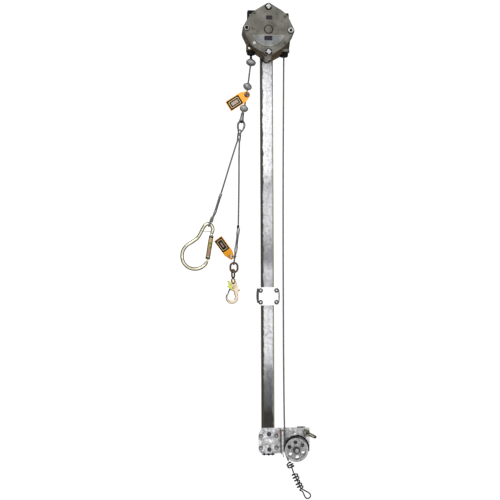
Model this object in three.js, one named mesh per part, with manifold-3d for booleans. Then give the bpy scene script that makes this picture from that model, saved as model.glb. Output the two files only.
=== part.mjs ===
// A mast-mounted wire-rope descent head: sheave and centrifugal brake in a cast head, guide wheel
// on a lower bracket, and a two-leg lanyard with a carabiner and a swivel snap hook.
// Millimetres, +Z up the mast, front towards -Y. The origin is the centre of the mid clamp's back.
import * as THREE from "three";
import { mergeVertices } from "three/addons/utils/BufferGeometryUtils.js";
import Module from "manifold-3d";

const wasm = await Module();
wasm.setup();

// ---- Driving dimensions ----
const GAP = 0.3;
const DEG = Math.PI / 180;

const MAST_WIDTH = 50.8;
const MAST_WALL = 3.2;
const MAST_TOP = 1100;
const MAST_BOTTOM = -636;
const CLAMP_BACK_T = 8;
const PLATE_T = 5;
const MAST_BACK = -CLAMP_BACK_T - GAP;
const MAST_FRONT = MAST_BACK - MAST_WIDTH;
const PLATE_BACK = MAST_FRONT - GAP;
const PLATE_FRONT = PLATE_BACK - PLATE_T;

const HEAD_Z = 1040;
const HEAD_BACK = PLATE_FRONT - GAP;
const HOUSING_WALL = 8;
const HOUSING_FRONT = -134;
const GASKET_T = 1.5;
const COVER_BACK = HOUSING_FRONT - GASKET_T - 2 * GAP;
const COVER_FRONT = -170;
const COVER_WALL = 7;
const CAVITY_R = 76;
const HOUSING_R = 86;
const COVER_R = 91;
const LOBE_R = 15;
const LOBE_OUT = 88;
const SIDE_LOBE_OUT = 86;
const SIDE_LOBE_TILT = 3 * DEG;

const ROPE_R = 2.4;
const ROPE_Y = -96;
const SHEAVE_PITCH_R = 65;
const SHEAVE_R = 72;
const SHEAVE_HALF_T = 9;
const SHAFT_R = 8;
const BEARING_R = 16;
const BEARING_T = 7;

const GEAR_MODULE = 2;
const DRIVE_TEETH = 30;
const PINION_TEETH = 12;
const GEAR_BACK = -114;
const GEAR_T = 10;
const BRAKE_OUT = (GEAR_MODULE * (DRIVE_TEETH + PINION_TEETH)) / 2;
const DRUM_R = 27;
const DRUM_WALL = 4;
const DRUM_BACK = -131;
const DRUM_FLOOR = -153.5;
const DRUM_FRONT = -156.7;
const SHOE_R = 25.8;
const SHOE_HALF_ANGLE = 66 * DEG;

const BRACKET_Z = -581;
const FLANGE_X = 48.5;
const FLANGE_T = 7;
const FLANGE_FRONT = -114;
const WHEEL = { x: 108, z: -606, r: 47, back: -83, front: -109 };
const WHEEL_ROPE_R = 45.2;
const WHEEL_HOLE_OUT = 29.6;
const WHEEL_HOLE_R = 7.6;
const EYE = { x: 151, z: -545, y: -75, ringR: 11, rodR: 3 };

const CLAMP_X = 3;
const CLAMP_BOLT_X = 31.8;
const CLAMP_BOLT_Z = 23.5;

const STEEL = { color: 0x9c9a93, roughness: 0.4, metalness: 0.9 };
const ZINC = { color: 0xc9cbcc, roughness: 0.45, metalness: 0.85 };
const BRIGHT = { color: 0xe6e6e2, roughness: 0.3, metalness: 0.9 };
const CAST = { color: 0x77736b, roughness: 0.7, metalness: 0.4 };
const RUBBER = { color: 0x151515, roughness: 0.9, metalness: 0 };
const WIRE = { color: 0x8a8c8d, roughness: 0.5, metalness: 0.8 };
const TAIL = { color: 0x2b2b29, roughness: 0.7, metalness: 0.3 };
const GOLD = { color: 0xd8cfae, roughness: 0.3, metalness: 0.9 };
const OLIVE = { color: 0x8d8453, roughness: 0.4, metalness: 0.8 };
const BRONZE = { color: 0x4d3a28, roughness: 0.5, metalness: 0.7 };
const LEVER = { color: 0xc9cf57, roughness: 0.4, metalness: 0.7 };
const BRASS = { color: 0xb79a55, roughness: 0.4, metalness: 0.9 };
const TAG = { color: 0xf0a01c, roughness: 0.6, metalness: 0 };

// ---- Solids ----
function solidFrom(geometry) {
  const bare = geometry.clone();
  bare.deleteAttribute("normal");
  bare.deleteAttribute("uv");
  const merged = mergeVertices(bare, 1e-4);
  const make = (triVerts) =>
    new wasm.Manifold(
      new wasm.Mesh({
        numProp: 3,
        vertProperties: merged.attributes.position.array,
        triVerts,
      }),
    );
  const triVerts = new Uint32Array(merged.index.array);
  const made = make(triVerts);
  return made.volume() < 0 ? make(triVerts.reverse()) : made;
}

function geometryFrom(solid) {
  const mesh = solid.getMesh();
  const geometry = new THREE.BufferGeometry();
  const position = new THREE.BufferAttribute(mesh.vertProperties, 3);
  geometry.setAttribute("position", position);
  geometry.setIndex(new THREE.BufferAttribute(mesh.triVerts, 1));
  geometry.computeVertexNormals();
  return geometry;
}

const join = (...solids) => solids.reduce((all, one) => all.add(one));
const cut = (body, ...tools) => tools.reduce((left, tool) => left.subtract(tool), body);

function box(x0, x1, y0, y1, z0, z1) {
  const geometry = new THREE.BoxGeometry(x1 - x0, y1 - y0, z1 - z0);
  return solidFrom(geometry.translate((x0 + x1) / 2, (y0 + y1) / 2, (z0 + z1) / 2));
}

// A cylinder or cone along Y, from y0 (radius r0) to y1 (radius r1).
function barY(x, z, y0, y1, r0, r1 = r0, sides = 12) {
  const geometry = new THREE.CylinderGeometry(r1, r0, y1 - y0, sides);
  return solidFrom(geometry.translate(x, (y0 + y1) / 2, z));
}

function barZ(x, y, z0, z1, r0, r1 = r0, sides = 12) {
  const geometry = new THREE.CylinderGeometry(r1, r0, z1 - z0, sides).rotateX(Math.PI / 2);
  return solidFrom(geometry.translate(x, y, (z0 + z1) / 2));
}

// A cylinder or cone between two points.
function barBetween(from, to, r0, r1 = r0, sides = 10) {
  const start = new THREE.Vector3(...from);
  const end = new THREE.Vector3(...to);
  const along = end.clone().sub(start);
  const geometry = new THREE.CylinderGeometry(r1, r0, along.length(), sides);
  const up = new THREE.Vector3(0, 1, 0);
  const turn = new THREE.Quaternion().setFromUnitVectors(up, along.clone().normalize());
  geometry.applyQuaternion(turn);
  const middle = start.add(end).multiplyScalar(0.5);
  return solidFrom(geometry.translate(middle.x, middle.y, middle.z));
}

const ringY = (x, z, y0, y1, inner, outer, sides = 16) =>
  cut(barY(x, z, y0, y1, outer, outer, sides), barY(x, z, y0 - 1, y1 + 1, inner, inner, sides));

// A shape drawn in X and Z, extruded from y0 to y1.
function plateY(shape, y0, y1, curveSegments = 3) {
  const options = { depth: y1 - y0, bevelEnabled: false, curveSegments };
  const geometry = new THREE.ExtrudeGeometry(shape, options).rotateX(Math.PI / 2);
  return solidFrom(geometry.translate(0, y1, 0));
}

// A profile of [radius, y] points turned about a Y axis through x, z.
function turnedY(profile, x, z, sides = 36) {
  const points = profile.map(([r, y]) => new THREE.Vector2(r, y));
  return solidFrom(new THREE.LatheGeometry(points, sides).translate(x, 0, z));
}

function roundedRect(x0, x1, z0, z1, r) {
  const shape = new THREE.Shape();
  shape.absarc(x1 - r, z0 + r, r, -Math.PI / 2, 0);
  shape.absarc(x1 - r, z1 - r, r, 0, Math.PI / 2);
  shape.absarc(x0 + r, z1 - r, r, Math.PI / 2, Math.PI);
  shape.absarc(x0 + r, z0 + r, r, Math.PI, 1.5 * Math.PI);
  shape.closePath();
  return shape;
}

function polygon(points) {
  return new THREE.Shape(points.map(([x, z]) => new THREE.Vector2(x, z)));
}

function circle(x, z, r, sides = 12) {
  const points = [];
  for (let i = 0; i < sides; i += 1) {
    const angle = (-2 * Math.PI * i) / sides;
    points.push(new THREE.Vector2(x + r * Math.cos(angle), z + r * Math.sin(angle)));
  }
  return new THREE.Path(points);
}

const vectors = (points) => points.map((p) => new THREE.Vector3(...p));

// A smooth curve sampled evenly between its points, so close points give a finer bend.
class Route extends THREE.CatmullRomCurve3 {
  getPointAt(t, target) {
    return this.getPoint(t, target);
  }

  getTangentAt(t, target) {
    return this.getTangent(t, target);
  }

  getSpacedPoints(divisions) {
    return this.getPoints(divisions);
  }
}

// A round rod along a smooth curve through the points, with `pieces` steps between each pair.
function rod(points, radius, pieces = 1, sides = 8) {
  const section = new THREE.Shape();
  for (let i = 0; i < sides; i += 1) {
    const angle = (2 * Math.PI * i) / sides;
    const move = i === 0 ? "moveTo" : "lineTo";
    section[move](radius * Math.cos(angle), radius * Math.sin(angle));
  }
  section.closePath();
  const extrudePath = new Route(vectors(points));
  const steps = pieces * (points.length - 1);
  return solidFrom(new THREE.ExtrudeGeometry(section, { steps, extrudePath }));
}

// A closed oval of round rod: ends of radius `end`, `reach` apart, in the plane of `along` and `across`.
function ovalLink(centre, along, across, reach, end, radius, sides = 8) {
  const u = new THREE.Vector3(...along).normalize();
  const v = new THREE.Vector3(...across).normalize();
  const points = [];
  for (const side of [1, -1]) {
    for (let i = 0; i <= 6; i += 1) {
      const angle = (side > 0 ? -90 : 90) * DEG + (i / 6) * Math.PI;
      const point = new THREE.Vector3(...centre);
      point.addScaledVector(u, (side * reach) / 2 + end * Math.cos(angle));
      point.addScaledVector(v, end * Math.sin(angle));
      points.push(point);
    }
  }
  const path = new THREE.CatmullRomCurve3(points, true, "catmullrom", 0.5);
  return solidFrom(new THREE.TubeGeometry(path, 24, radius, sides, true));
}

const group = new THREE.Group();
function addPart(name, solid, look) {
  const mesh = new THREE.Mesh(geometryFrom(solid), new THREE.MeshStandardMaterial(look));
  mesh.name = name;
  group.add(mesh);
}

// A hexagon-headed bolt along Y: its head reaches from headFront back to seat, the shank on to end.
function boltY(x, z, headFront, seat, end, headR, shankR, sides = 6) {
  const head = barY(x, z, headFront, seat, headR, headR, sides);
  return join(head, barY(x, z, seat - 1, end, shankR, shankR, 8));
}

// ---- Head ----
const LOBES = [
  { angle: -SIDE_LOBE_TILT, out: SIDE_LOBE_OUT },
  { angle: Math.PI / 2, out: LOBE_OUT },
  { angle: Math.PI - SIDE_LOBE_TILT, out: SIDE_LOBE_OUT },
  { angle: 1.5 * Math.PI, out: LOBE_OUT },
];
const lobeX = (lobe) => lobe.out * Math.cos(lobe.angle);
const lobeZ = (lobe) => HEAD_Z + lobe.out * Math.sin(lobe.angle);

// The head's outline: a circle with four rounded bolt lobes and straight flanks between them.
function headOutline(baseR) {
  const shape = new THREE.Shape();
  LOBES.forEach((lobe, i) => {
    const next = LOBES[(i + 1) % LOBES.length];
    const turn = i === LOBES.length - 1 ? 2 * Math.PI : 0;
    const flank = Math.acos((baseR - LOBE_R) / lobe.out);
    const nextFlank = Math.acos((baseR - LOBE_R) / next.out);
    shape.absarc(lobeX(lobe), lobeZ(lobe), LOBE_R, lobe.angle - flank, lobe.angle + flank);
    shape.absarc(0, HEAD_Z, baseR, lobe.angle + flank, next.angle + turn - nextFlank);
  });
  shape.closePath();
  return shape;
}

const lobeHoles = (y0, y1, r) => LOBES.map((lobe) => barY(lobeX(lobe), lobeZ(lobe), y0, y1, r, r, 8));
const HEAD_BOLT_Z = [HEAD_Z + 35, HEAD_Z - 35];
const LEFT_PORT_Z = 973;
const RIGHT_PORT_Z = 966.3;
const PORT_R = 17;
const SNOUT_X = 68;
// The open triangle between the left port's lug and the round wall.
const PORT_WINDOW = [[-92, 1011], [-92, 978.2], [-48.3, 978.2]];
const PORT_LUG = [
  [-98, 1033], [-83.5, 1003], [-83.5, 973], [-75.5, 973], [-75.5, 1000], [-68, 1018], [-76, 1040],
];
// The V-shaped skirt between the two ports, under the round wall.
const APRON = [
  [-64, 977.5], [-50, 967.2], [-29, 953.3], [-12, 942], [4, 934.5], [16, 937.2], [53, 956.9],
  [68, 965.5], [68, 1000], [-46, 1000], [-46, 977.5],
];

function rearHousing() {
  const back = HEAD_BACK - HOUSING_WALL;
  const shell = plateY(headOutline(HOUSING_R), HOUSING_FRONT, HEAD_BACK);
  const tipBoss = barY(0, 951, HOUSING_FRONT, HEAD_BACK, 12, 17);
  const window = plateY(polygon(PORT_WINDOW), HOUSING_FRONT - 1, HEAD_BACK + 1);
  const snout = join(
    barZ(SNOUT_X, ROPE_Y, RIGHT_PORT_Z, 988, 18.6, 19.4),
    barZ(SNOUT_X, ROPE_Y, 988, 1012, 19.4, 23.4),
  );
  const lug = plateY(polygon(PORT_LUG), ROPE_Y - 12, -68);
  const seat = box(-83.5, -46, ROPE_Y - 14, ROPE_Y + 14, LEFT_PORT_Z, LEFT_PORT_Z + 5);
  const wall = cut(
    join(cut(shell, window), plateY(polygon(APRON), -112, HEAD_BACK)),
    barZ(-SHEAVE_PITCH_R, ROPE_Y, 940, LEFT_PORT_Z, PORT_R + 1.5),
    barZ(SHEAVE_PITCH_R + 0.5, ROPE_Y, 940, RIGHT_PORT_Z, PORT_R + 1.5),
  );
  const leftEar = plateY(roundedRect(-79, -46, 1088, 1136, 5), -90, HEAD_BACK, 3);
  const rightEar = plateY(roundedRect(50, 82, 1080, 1113, 5), HOUSING_FRONT, -98, 3);
  const earHole = barY(-66, 1121, -100, -60, 5);
  const body = cut(
    join(wall, tipBoss, snout, lug, seat, leftEar, rightEar),
    barY(0, HEAD_Z, HOUSING_FRONT - 1, back, CAVITY_R, CAVITY_R, 32),
    earHole,
    ...lobeHoles(HOUSING_FRONT - 1, HOUSING_FRONT + 45, 4.9),
    ...HEAD_BOLT_Z.map((z) => barY(0, z, back - 1, HEAD_BACK + 1, 6.3)),
    barZ(SHEAVE_PITCH_R, ROPE_Y, RIGHT_PORT_Z - 1, HEAD_Z - 20, 4.5, 4.5, 16),
    barZ(-SHEAVE_PITCH_R, ROPE_Y, LEFT_PORT_Z - 1, HEAD_Z - 20, 4.5, 4.5, 16),
  );
  const bearingSeat = ringY(0, HEAD_Z, back - BEARING_T, back + 1, BEARING_R + GAP, BEARING_R + 5);
  return join(body, bearingSeat);
}

function coverGasket() {
  const shape = headOutline(HOUSING_R);
  shape.holes.push(circle(0, HEAD_Z, CAVITY_R, 32));
  const front = HOUSING_FRONT - GASKET_T - GAP;
  const sheet = plateY(shape, front, HOUSING_FRONT - GAP);
  return cut(sheet, ...lobeHoles(front - 1, HOUSING_FRONT, 4.9));
}

const PANEL_R = 66;
const PANEL_TOP = -22.5;

// The raised half-moon panel: everything of a disc below a chord.
function halfMoon(r, top) {
  const half = Math.asin(top / r);
  const shape = new THREE.Shape();
  shape.absarc(0, HEAD_Z, r, Math.PI - half, 2 * Math.PI + half);
  shape.closePath();
  return shape;
}

function frontCover() {
  const inner = COVER_FRONT + COVER_WALL;
  const shell = cut(
    plateY(headOutline(COVER_R), COVER_FRONT, COVER_BACK),
    barY(0, HEAD_Z, inner, COVER_BACK + 1, CAVITY_R, CAVITY_R, 32),
  );
  const panelRim = cut(
    plateY(halfMoon(PANEL_R, PANEL_TOP), COVER_FRONT - 2, COVER_FRONT + 1, 8),
    plateY(halfMoon(PANEL_R - 3, PANEL_TOP - 3), COVER_FRONT - 3, COVER_FRONT - 0.8, 8),
  );
  const seatR = BEARING_R + 4;
  const bearingSeat = barY(0, HEAD_Z, inner - 1, inner + 5.5, seatR);
  const rotorSeat = barY(0, HEAD_Z + BRAKE_OUT, inner - 1, inner + 6, 12);
  return cut(
    join(shell, panelRim, bearingSeat, rotorSeat),
    barY(0, HEAD_Z, inner, inner + 7, BEARING_R + GAP, BEARING_R + GAP, 16),
    barY(0, HEAD_Z + BRAKE_OUT, inner, inner + 7, 5.4),
    ringY(0, HEAD_Z, COVER_FRONT - 1, COVER_FRONT + 2.5, 14.5, 17.4),
    ...lobeHoles(COVER_FRONT - 3, COVER_BACK + 1, 4.9),
    ...lobeHoles(COVER_FRONT - 3, COVER_FRONT + 3, 13),
  );
}

function headFasteners() {
  const seat = COVER_FRONT + 3 - GAP;
  const names = ["cover_bolt_right", "cover_bolt_top", "cover_bolt_left", "cover_bolt_bottom"];
  LOBES.forEach((lobe, i) => {
    const socketHead = i % 2 === 0;
    const front = COVER_FRONT - (socketHead ? 7 : 6);
    const end = HOUSING_FRONT + 30;
    const x = lobeX(lobe);
    const z = lobeZ(lobe);
    let bolt = boltY(x, z, front, seat, end, socketHead ? 10.5 : 12, 4.5, socketHead ? 24 : 4);
    if (socketHead) bolt = cut(bolt, barY(x, z, front - 1, front + 6, 5.6, 5.6, 6));
    addPart(names[i], bolt, BRIGHT);
  });
  HEAD_BOLT_Z.forEach((z, i) => {
    const back = HEAD_BACK - HOUSING_WALL - GAP;
    const bolt = boltY(0, z, back - 7.5, back, -0.6, 10, 6);
    const nut = barY(0, z, MAST_BACK + GAP, -1, 10.5, 10.5, 6);
    addPart(["head_bolt_upper", "head_bolt_lower"][i], join(bolt, nut), ZINC);
  });
}

function headPlate() {
  const plate = plateY(roundedRect(-45, 45, 968, 1112, 8), PLATE_FRONT, PLATE_BACK, 4);
  return cut(plate, ...HEAD_BOLT_Z.map((z) => barY(0, z, PLATE_FRONT - 1, PLATE_BACK + 1, 6.3)));
}

// A moulded rubber bumper under a rope port, with rounded edges and a bore for the rope.
function ropeBumper(x, top, height) {
  const points = [
    [4, 0],
    [12, 0],
    [15.6, 1.5],
    [PORT_R, 5],
    [PORT_R, height - 3],
    [PORT_R - 2.5, height],
    [4, height],
    [4, 0],
  ].map(([r, y]) => new THREE.Vector2(r, y));
  const geometry = new THREE.LatheGeometry(points, 20).rotateX(Math.PI / 2);
  return solidFrom(geometry.translate(x, ROPE_Y, top - height));
}

// ---- Inside the head ----
function ropeSheave() {
  const back = ROPE_Y + SHEAVE_HALF_T;
  const front = ROPE_Y - SHEAVE_HALF_T;
  const profile = [
    [SHAFT_R + GAP, front],
    [18, front],
    [18, ROPE_Y - 3],
    [54, ROPE_Y - 3],
    [SHEAVE_R, front + 3],
    [SHEAVE_R, ROPE_Y - 4.5],
    [64, ROPE_Y - 2.9],
    [61.9, ROPE_Y - 1.4],
    [61.9, ROPE_Y + 1.4],
    [64, ROPE_Y + 2.9],
    [SHEAVE_R, ROPE_Y + 4.5],
    [SHEAVE_R, back - 3],
    [54, ROPE_Y + 3],
    [18, ROPE_Y + 3],
    [18, back],
    [SHAFT_R + GAP, back],
    [SHAFT_R + GAP, front],
  ];
  const holes = [];
  for (let i = 0; i < 6; i += 1) {
    const angle = i * 60 * DEG;
    const x = 36 * Math.cos(angle);
    holes.push(barY(x, HEAD_Z + 36 * Math.sin(angle), front - 1, back + 1, 9, 9, 8));
  }
  return cut(turnedY(profile, 0, HEAD_Z, 28), ...holes);
}

// A spur gear with straight-flanked teeth and backlash, about a Y axis.
function spurGear(x, z, teeth, phase, bore) {
  const pitchR = (GEAR_MODULE * teeth) / 2;
  const tip = pitchR + 0.8 * GEAR_MODULE;
  const root = pitchR - 1.1 * GEAR_MODULE;
  const pitch = (2 * Math.PI) / teeth;
  const points = [];
  for (let i = 0; i < teeth; i += 1) {
    const middle = phase + i * pitch;
    const corners = [
      [root, -0.36],
      [tip, -0.1],
      [tip, 0.1],
      [root, 0.36],
    ];
    for (const [r, share] of corners) {
      const angle = middle + share * pitch;
      points.push([x + r * Math.cos(angle), z + r * Math.sin(angle)]);
    }
  }
  const shape = polygon(points);
  if (bore) shape.holes.push(circle(x, z, bore, 16));
  return plateY(shape, GEAR_BACK - GEAR_T, GEAR_BACK);
}

function mainShaft() {
  const back = HEAD_BACK - HOUSING_WALL - GAP;
  const front = COVER_FRONT + COVER_WALL + GAP;
  return barY(0, HEAD_Z, front, back, SHAFT_R, SHAFT_R, 32);
}

function bearing(y0, y1) {
  return ringY(0, HEAD_Z, y0, y1, SHAFT_R + GAP, BEARING_R);
}

// The rotor turns the pinion and carries the shoes on a cross bar inside the drum.
function brakeRotor() {
  const z = HEAD_Z + BRAKE_OUT;
  const phase = -Math.PI / 2 + Math.PI / PINION_TEETH;
  const pinion = spurGear(0, z, PINION_TEETH, phase, 0);
  const shaft = barY(0, z, COVER_FRONT + COVER_WALL + 1, GEAR_BACK + 2, 5);
  const hub = barY(0, z, -151, -133, 8);
  const arm = box(-3, 3, -151, -133, z - 24, z + 24);
  return join(pinion, shaft, hub, arm);
}

function brakeDrum() {
  const z = HEAD_Z + BRAKE_OUT;
  const cup = barY(0, z, DRUM_FRONT, DRUM_BACK, DRUM_R + DRUM_WALL, DRUM_R + DRUM_WALL, 24);
  const hollow = barY(0, z, DRUM_FLOOR, DRUM_BACK + 1, DRUM_R, DRUM_R, 24);
  return cut(cup, hollow, barY(0, z, DRUM_FRONT - 1, DRUM_BACK, 5.4));
}

// A brake shoe: a ring sector on one side of the rotor's cross bar.
function brakeShoe(side) {
  const z = HEAD_Z + BRAKE_OUT;
  const middle = side > 0 ? 0 : Math.PI;
  const shape = new THREE.Shape();
  const from = middle - SHOE_HALF_ANGLE;
  const to = middle + SHOE_HALF_ANGLE;
  shape.absarc(0, z, SHOE_R, from, to);
  shape.absarc(0, z, 10, to, from, true);
  shape.closePath();
  return plateY(shape, -150, -134, 4);
}

// ---- Mast and mid clamp ----
function mastTube() {
  const outer = MAST_WIDTH / 2;
  const inner = outer - MAST_WALL;
  const section = roundedRect(-outer, outer, -outer, outer, 6);
  section.holes.push(roundedRect(-inner, inner, -inner, inner, 3));
  const depth = MAST_TOP - MAST_BOTTOM;
  const options = { depth, bevelEnabled: false, curveSegments: 3 };
  const geometry = new THREE.ExtrudeGeometry(section, options);
  geometry.translate(0, (MAST_BACK + MAST_FRONT) / 2, MAST_BOTTOM);
  const drills = HEAD_BOLT_Z.map((z) => barY(0, z, MAST_FRONT - 1, MAST_BACK + 1, 6.3));
  return cut(solidFrom(geometry), ...drills);
}

function clampFrontPlate() {
  const shape = roundedRect(CLAMP_X - 39, CLAMP_X + 40, -36.5, 36, 4);
  return cut(plateY(shape, PLATE_FRONT, PLATE_BACK, 3), ...clampHoles(PLATE_FRONT - 1, 3.3));
}

function clampHoles(y0, r) {
  const holes = [];
  for (const x of [-CLAMP_BOLT_X, CLAMP_BOLT_X]) {
    for (const z of [-CLAMP_BOLT_Z, CLAMP_BOLT_Z]) {
      holes.push(barY(CLAMP_X + x, z, y0, 1, r, r, 8));
    }
  }
  return holes;
}

// The clamp's rear channel: a flat back with two bowed side walls beside the mast.
function clampRearChannel() {
  const left = CLAMP_X - 45;
  const right = CLAMP_X + 46;
  const back = box(left + 2, right - 2, -CLAMP_BACK_T, 0, -30, 30);
  const bow = (x, side) => {
    const shape = new THREE.Shape();
    shape.moveTo(x, -27);
    shape.quadraticCurveTo(x - side * 6, 0, x, 27);
    shape.lineTo(x + side * 5, 27);
    shape.quadraticCurveTo(x - side * 1, 0, x + side * 5, -27);
    shape.closePath();
    return plateY(shape, -50, -1, 8);
  };
  return cut(join(back, bow(left + 2, 1), bow(right - 2, -1)), ...clampHoles(-20, 3.3));
}

function clampBolts() {
  let count = 0;
  for (const z of [CLAMP_BOLT_Z, -CLAMP_BOLT_Z]) {
    for (const x of [-CLAMP_BOLT_X, CLAMP_BOLT_X]) {
      const seat = PLATE_FRONT - GAP;
      const bolt = boltY(CLAMP_X + x, z, seat - 5, seat, -1.5, 6.4, 3);
      count += 1;
      addPart(`clamp_bolt_${count}`, bolt, ZINC);
    }
  }
}

// ---- Lower bracket ----
const UBOLT_X = 31;
const UBOLT_Z = [BRACKET_Z + 24.5, BRACKET_Z - 23.5];
const BRACKET_BACK = PLATE_FRONT - GAP;
const BRACKET_FRONT = BRACKET_BACK - PLATE_T;

const uboltHoles = (y0, y1) =>
  UBOLT_Z.flatMap((z) => [-UBOLT_X, UBOLT_X].map((x) => barY(x, z, y0, y1, 4, 4, 8)));

function wheelPlate() {
  const shape = polygon([
    [-38, -613], [-29, -622], [165.5, -622], [165.5, -526], [-23, -526], [-38, -545],
  ]);
  return cut(
    plateY(shape, PLATE_FRONT, PLATE_BACK, 2),
    ...uboltHoles(PLATE_FRONT - 1, PLATE_BACK + 1),
    barY(WHEEL.x, WHEEL.z, PLATE_FRONT - 1, PLATE_BACK + 1, 8.3),
    barY(106.6, -551.4, PLATE_FRONT - 1, PLATE_BACK + 1, 3.2),
  );
}

// The chamfered plate over the mast, with the standing rope guard along its right edge.
function bracketFrontPlate() {
  const shape = polygon([
    [-25, -631],
    [FLANGE_X + FLANGE_T, -626],
    [FLANGE_X + FLANGE_T, -529],
    [-24, -531],
    [-40, -548],
    [-40, -616],
  ]);
  const plate = plateY(shape, BRACKET_FRONT, BRACKET_BACK);
  const flangeX = FLANGE_X + FLANGE_T;
  const flange = box(FLANGE_X, flangeX, FLANGE_FRONT, BRACKET_FRONT + 1, -621, -529);
  const tail = barBetween([53, -80, -618], [60, -80, -641], 2, 1.6, 10);
  return cut(join(plate, flange, tail), ...uboltHoles(BRACKET_FRONT - 1, BRACKET_BACK + 1));
}

// A square U-bolt round the mast, with its two nuts on the front plate.
function squareUBolt(z) {
  const back = MAST_BACK + GAP + 3.5;
  const points = [
    [-UBOLT_X, BRACKET_FRONT - 9, z],
    [-UBOLT_X, -50, z],
    [-UBOLT_X, -12, z],
    [-UBOLT_X + 2, back - 1.5, z],
    [-UBOLT_X + 7, back, z],
    [0, back, z],
    [UBOLT_X - 7, back, z],
    [UBOLT_X - 2, back - 1.5, z],
    [UBOLT_X, -12, z],
    [UBOLT_X, -50, z],
    [UBOLT_X, BRACKET_FRONT - 9, z],
  ];
  const seat = BRACKET_FRONT - GAP;
  const nuts = [-UBOLT_X, UBOLT_X].map((x) => barY(x, z, seat - 5.5, seat, 6.8, 6.8, 6));
  return join(rod(points, 3.4), ...nuts);
}

function guideWheel() {
  const { x, z, r, back, front } = WHEEL;
  const middle = (back + front) / 2;
  const bore = 12.3;
  const profile = [
    [bore, front],
    [17, front],
    [18, front + 4],
    [38.5, front + 4],
    [40, front],
    [r, front],
    [r, front + 7],
    [WHEEL_ROPE_R - ROPE_R - GAP, middle - 2],
    [WHEEL_ROPE_R - ROPE_R - GAP, middle + 2],
    [r, back - 7],
    [r, back],
    [40, back],
    [38.5, back - 4],
    [18, back - 4],
    [17, back],
    [bore, back],
    [bore, front],
  ];
  const holes = [];
  for (let i = 0; i < 6; i += 1) {
    const angle = (97.6 + 60 * i) * DEG;
    const holeX = x + WHEEL_HOLE_OUT * Math.cos(angle);
    const holeZ = z + WHEEL_HOLE_OUT * Math.sin(angle);
    holes.push(barY(holeX, holeZ, front - 1, back + 1, WHEEL_HOLE_R, WHEEL_HOLE_R, 10));
  }
  return cut(turnedY(profile, x, z, 28), ...holes);
}

// The axle bolt: a head behind the plate, a shoulder in front of it, and a washer and nut at the end.
function wheelAxle() {
  const { x, z, back, front } = WHEEL;
  const head = barY(x, z, PLATE_BACK + GAP, -52, 12, 12, 6);
  const shank = barY(x, z, front - 15, PLATE_BACK + 1, 8);
  const shoulder = barY(x, z, back + GAP, PLATE_FRONT - GAP, 12);
  const washer = barY(x, z, front - 2.5, front - GAP, 15);
  const nut = barY(x, z, front - 11, front - 2, 12, 12, 6);
  return join(head, shank, shoulder, washer, nut);
}

const wheelBearing = () => ringY(WHEEL.x, WHEEL.z, WHEEL.front, WHEEL.back, 8.3, 12);

// The lashing ring welded to the plate's outer corner, and the link that hangs from it.
function cornerRing() {
  const torus = new THREE.TorusGeometry(EYE.ringR, EYE.rodR, 8, 20).rotateX(Math.PI / 2);
  const ring = solidFrom(torus.translate(EYE.x, EYE.y, EYE.z));
  const feet = [120, 200].map((turn) => {
    const x = EYE.x + EYE.ringR * Math.cos(turn * DEG);
    const z = EYE.z + EYE.ringR * Math.sin(turn * DEG);
    return barY(x, z, EYE.y, PLATE_FRONT - GAP, 2.6, 2.6, 10);
  });
  return join(ring, ...feet);
}

const LINK_DIP = -28 * DEG;
function cornerLink() {
  const along = [Math.cos(LINK_DIP), 0, Math.sin(LINK_DIP)];
  const across = [-0.56 * Math.sin(LINK_DIP), -0.828, 0.56 * Math.cos(LINK_DIP)];
  const reach = 21;
  const start = EYE.ringR + reach / 2;
  const centre = [EYE.x + start * along[0], EYE.y, EYE.z + start * along[2]];
  return ovalLink(centre, along, across, reach, 7.4, 2.6);
}

// ---- Ropes ----
// Each route is a list of [x, z] in the rope's plane, or [x, y, z] where it leaves that plane.
const inRopePlane = (points) => points.map((p) => (p.length === 3 ? p : [p[0], ROPE_Y, p[1]]));

// Over the sheave: up from the left port, round the sheave and down to the right port.
function mainRopeRoute() {
  const route = [[-SHEAVE_PITCH_R, 966], [-SHEAVE_PITCH_R, 1000]];
  for (let turn = 180; turn >= 0; turn -= 12) {
    const x = SHEAVE_PITCH_R * Math.cos(turn * DEG);
    route.push([x, HEAD_Z + SHEAVE_PITCH_R * Math.sin(turn * DEG)]);
  }
  route.push([65, 1000], [65, 955], [64.4, 900], [61.5, 600], [59.6, 300], [59, 0]);
  route.push([59.2, -250], [60.4, -450], [62.2, -560], [62.6, -590]);
  for (let turn = 180; turn <= 201; turn += 7) {
    const x = WHEEL.x + WHEEL_ROPE_R * Math.cos(turn * DEG);
    route.push([x, WHEEL.z + WHEEL_ROPE_R * Math.sin(turn * DEG)]);
  }
  route.push([70.8, -635.3], [76.5, -650.2]);
  return inRopePlane(route);
}

const LEFT_ROPE = inRopePlane([
  [-65, 965.6],
  [-65, 957],
  [-65.1, 941],
  [-65.9, 923],
  [-69, 903],
  [-72.6, 876],
  [-75.6, 852],
  [-79.4, 832],
  [-81.3, 815],
  [-82.3, 799],
  [-85.6, 781],
  [-89.6, 763],
  [-93.4, 747],
  [-97, 735],
  [-99.6, 720],
]);

const LANYARD = inRopePlane([
  [-185.4, 410],
  [-170.5, 458],
  [-154.6, 510],
  [-137.6, 564],
  [-124, 606],
  [-118.3, 622],
  [-119, 632],
  [-116.6, 642],
  [-115.4, 650],
  [-118, 663],
  [-121, 678],
  [-116.5, 691],
  [-104.6, 696.5],
  [-92.6, 692],
  [-89.4, 679],
  [-95.5, 664],
  [-104.6, 651.5],
  [-109.3, 642],
  [-108.6, 632],
  [-111.2, 622],
  [-112.5, 607],
  [-114, 560],
  [-114.5, 510],
  [-114.9, 460],
  [-115.8, 400],
  [-116.8, 345],
  [-118.1, 285.6],
]);

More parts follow.
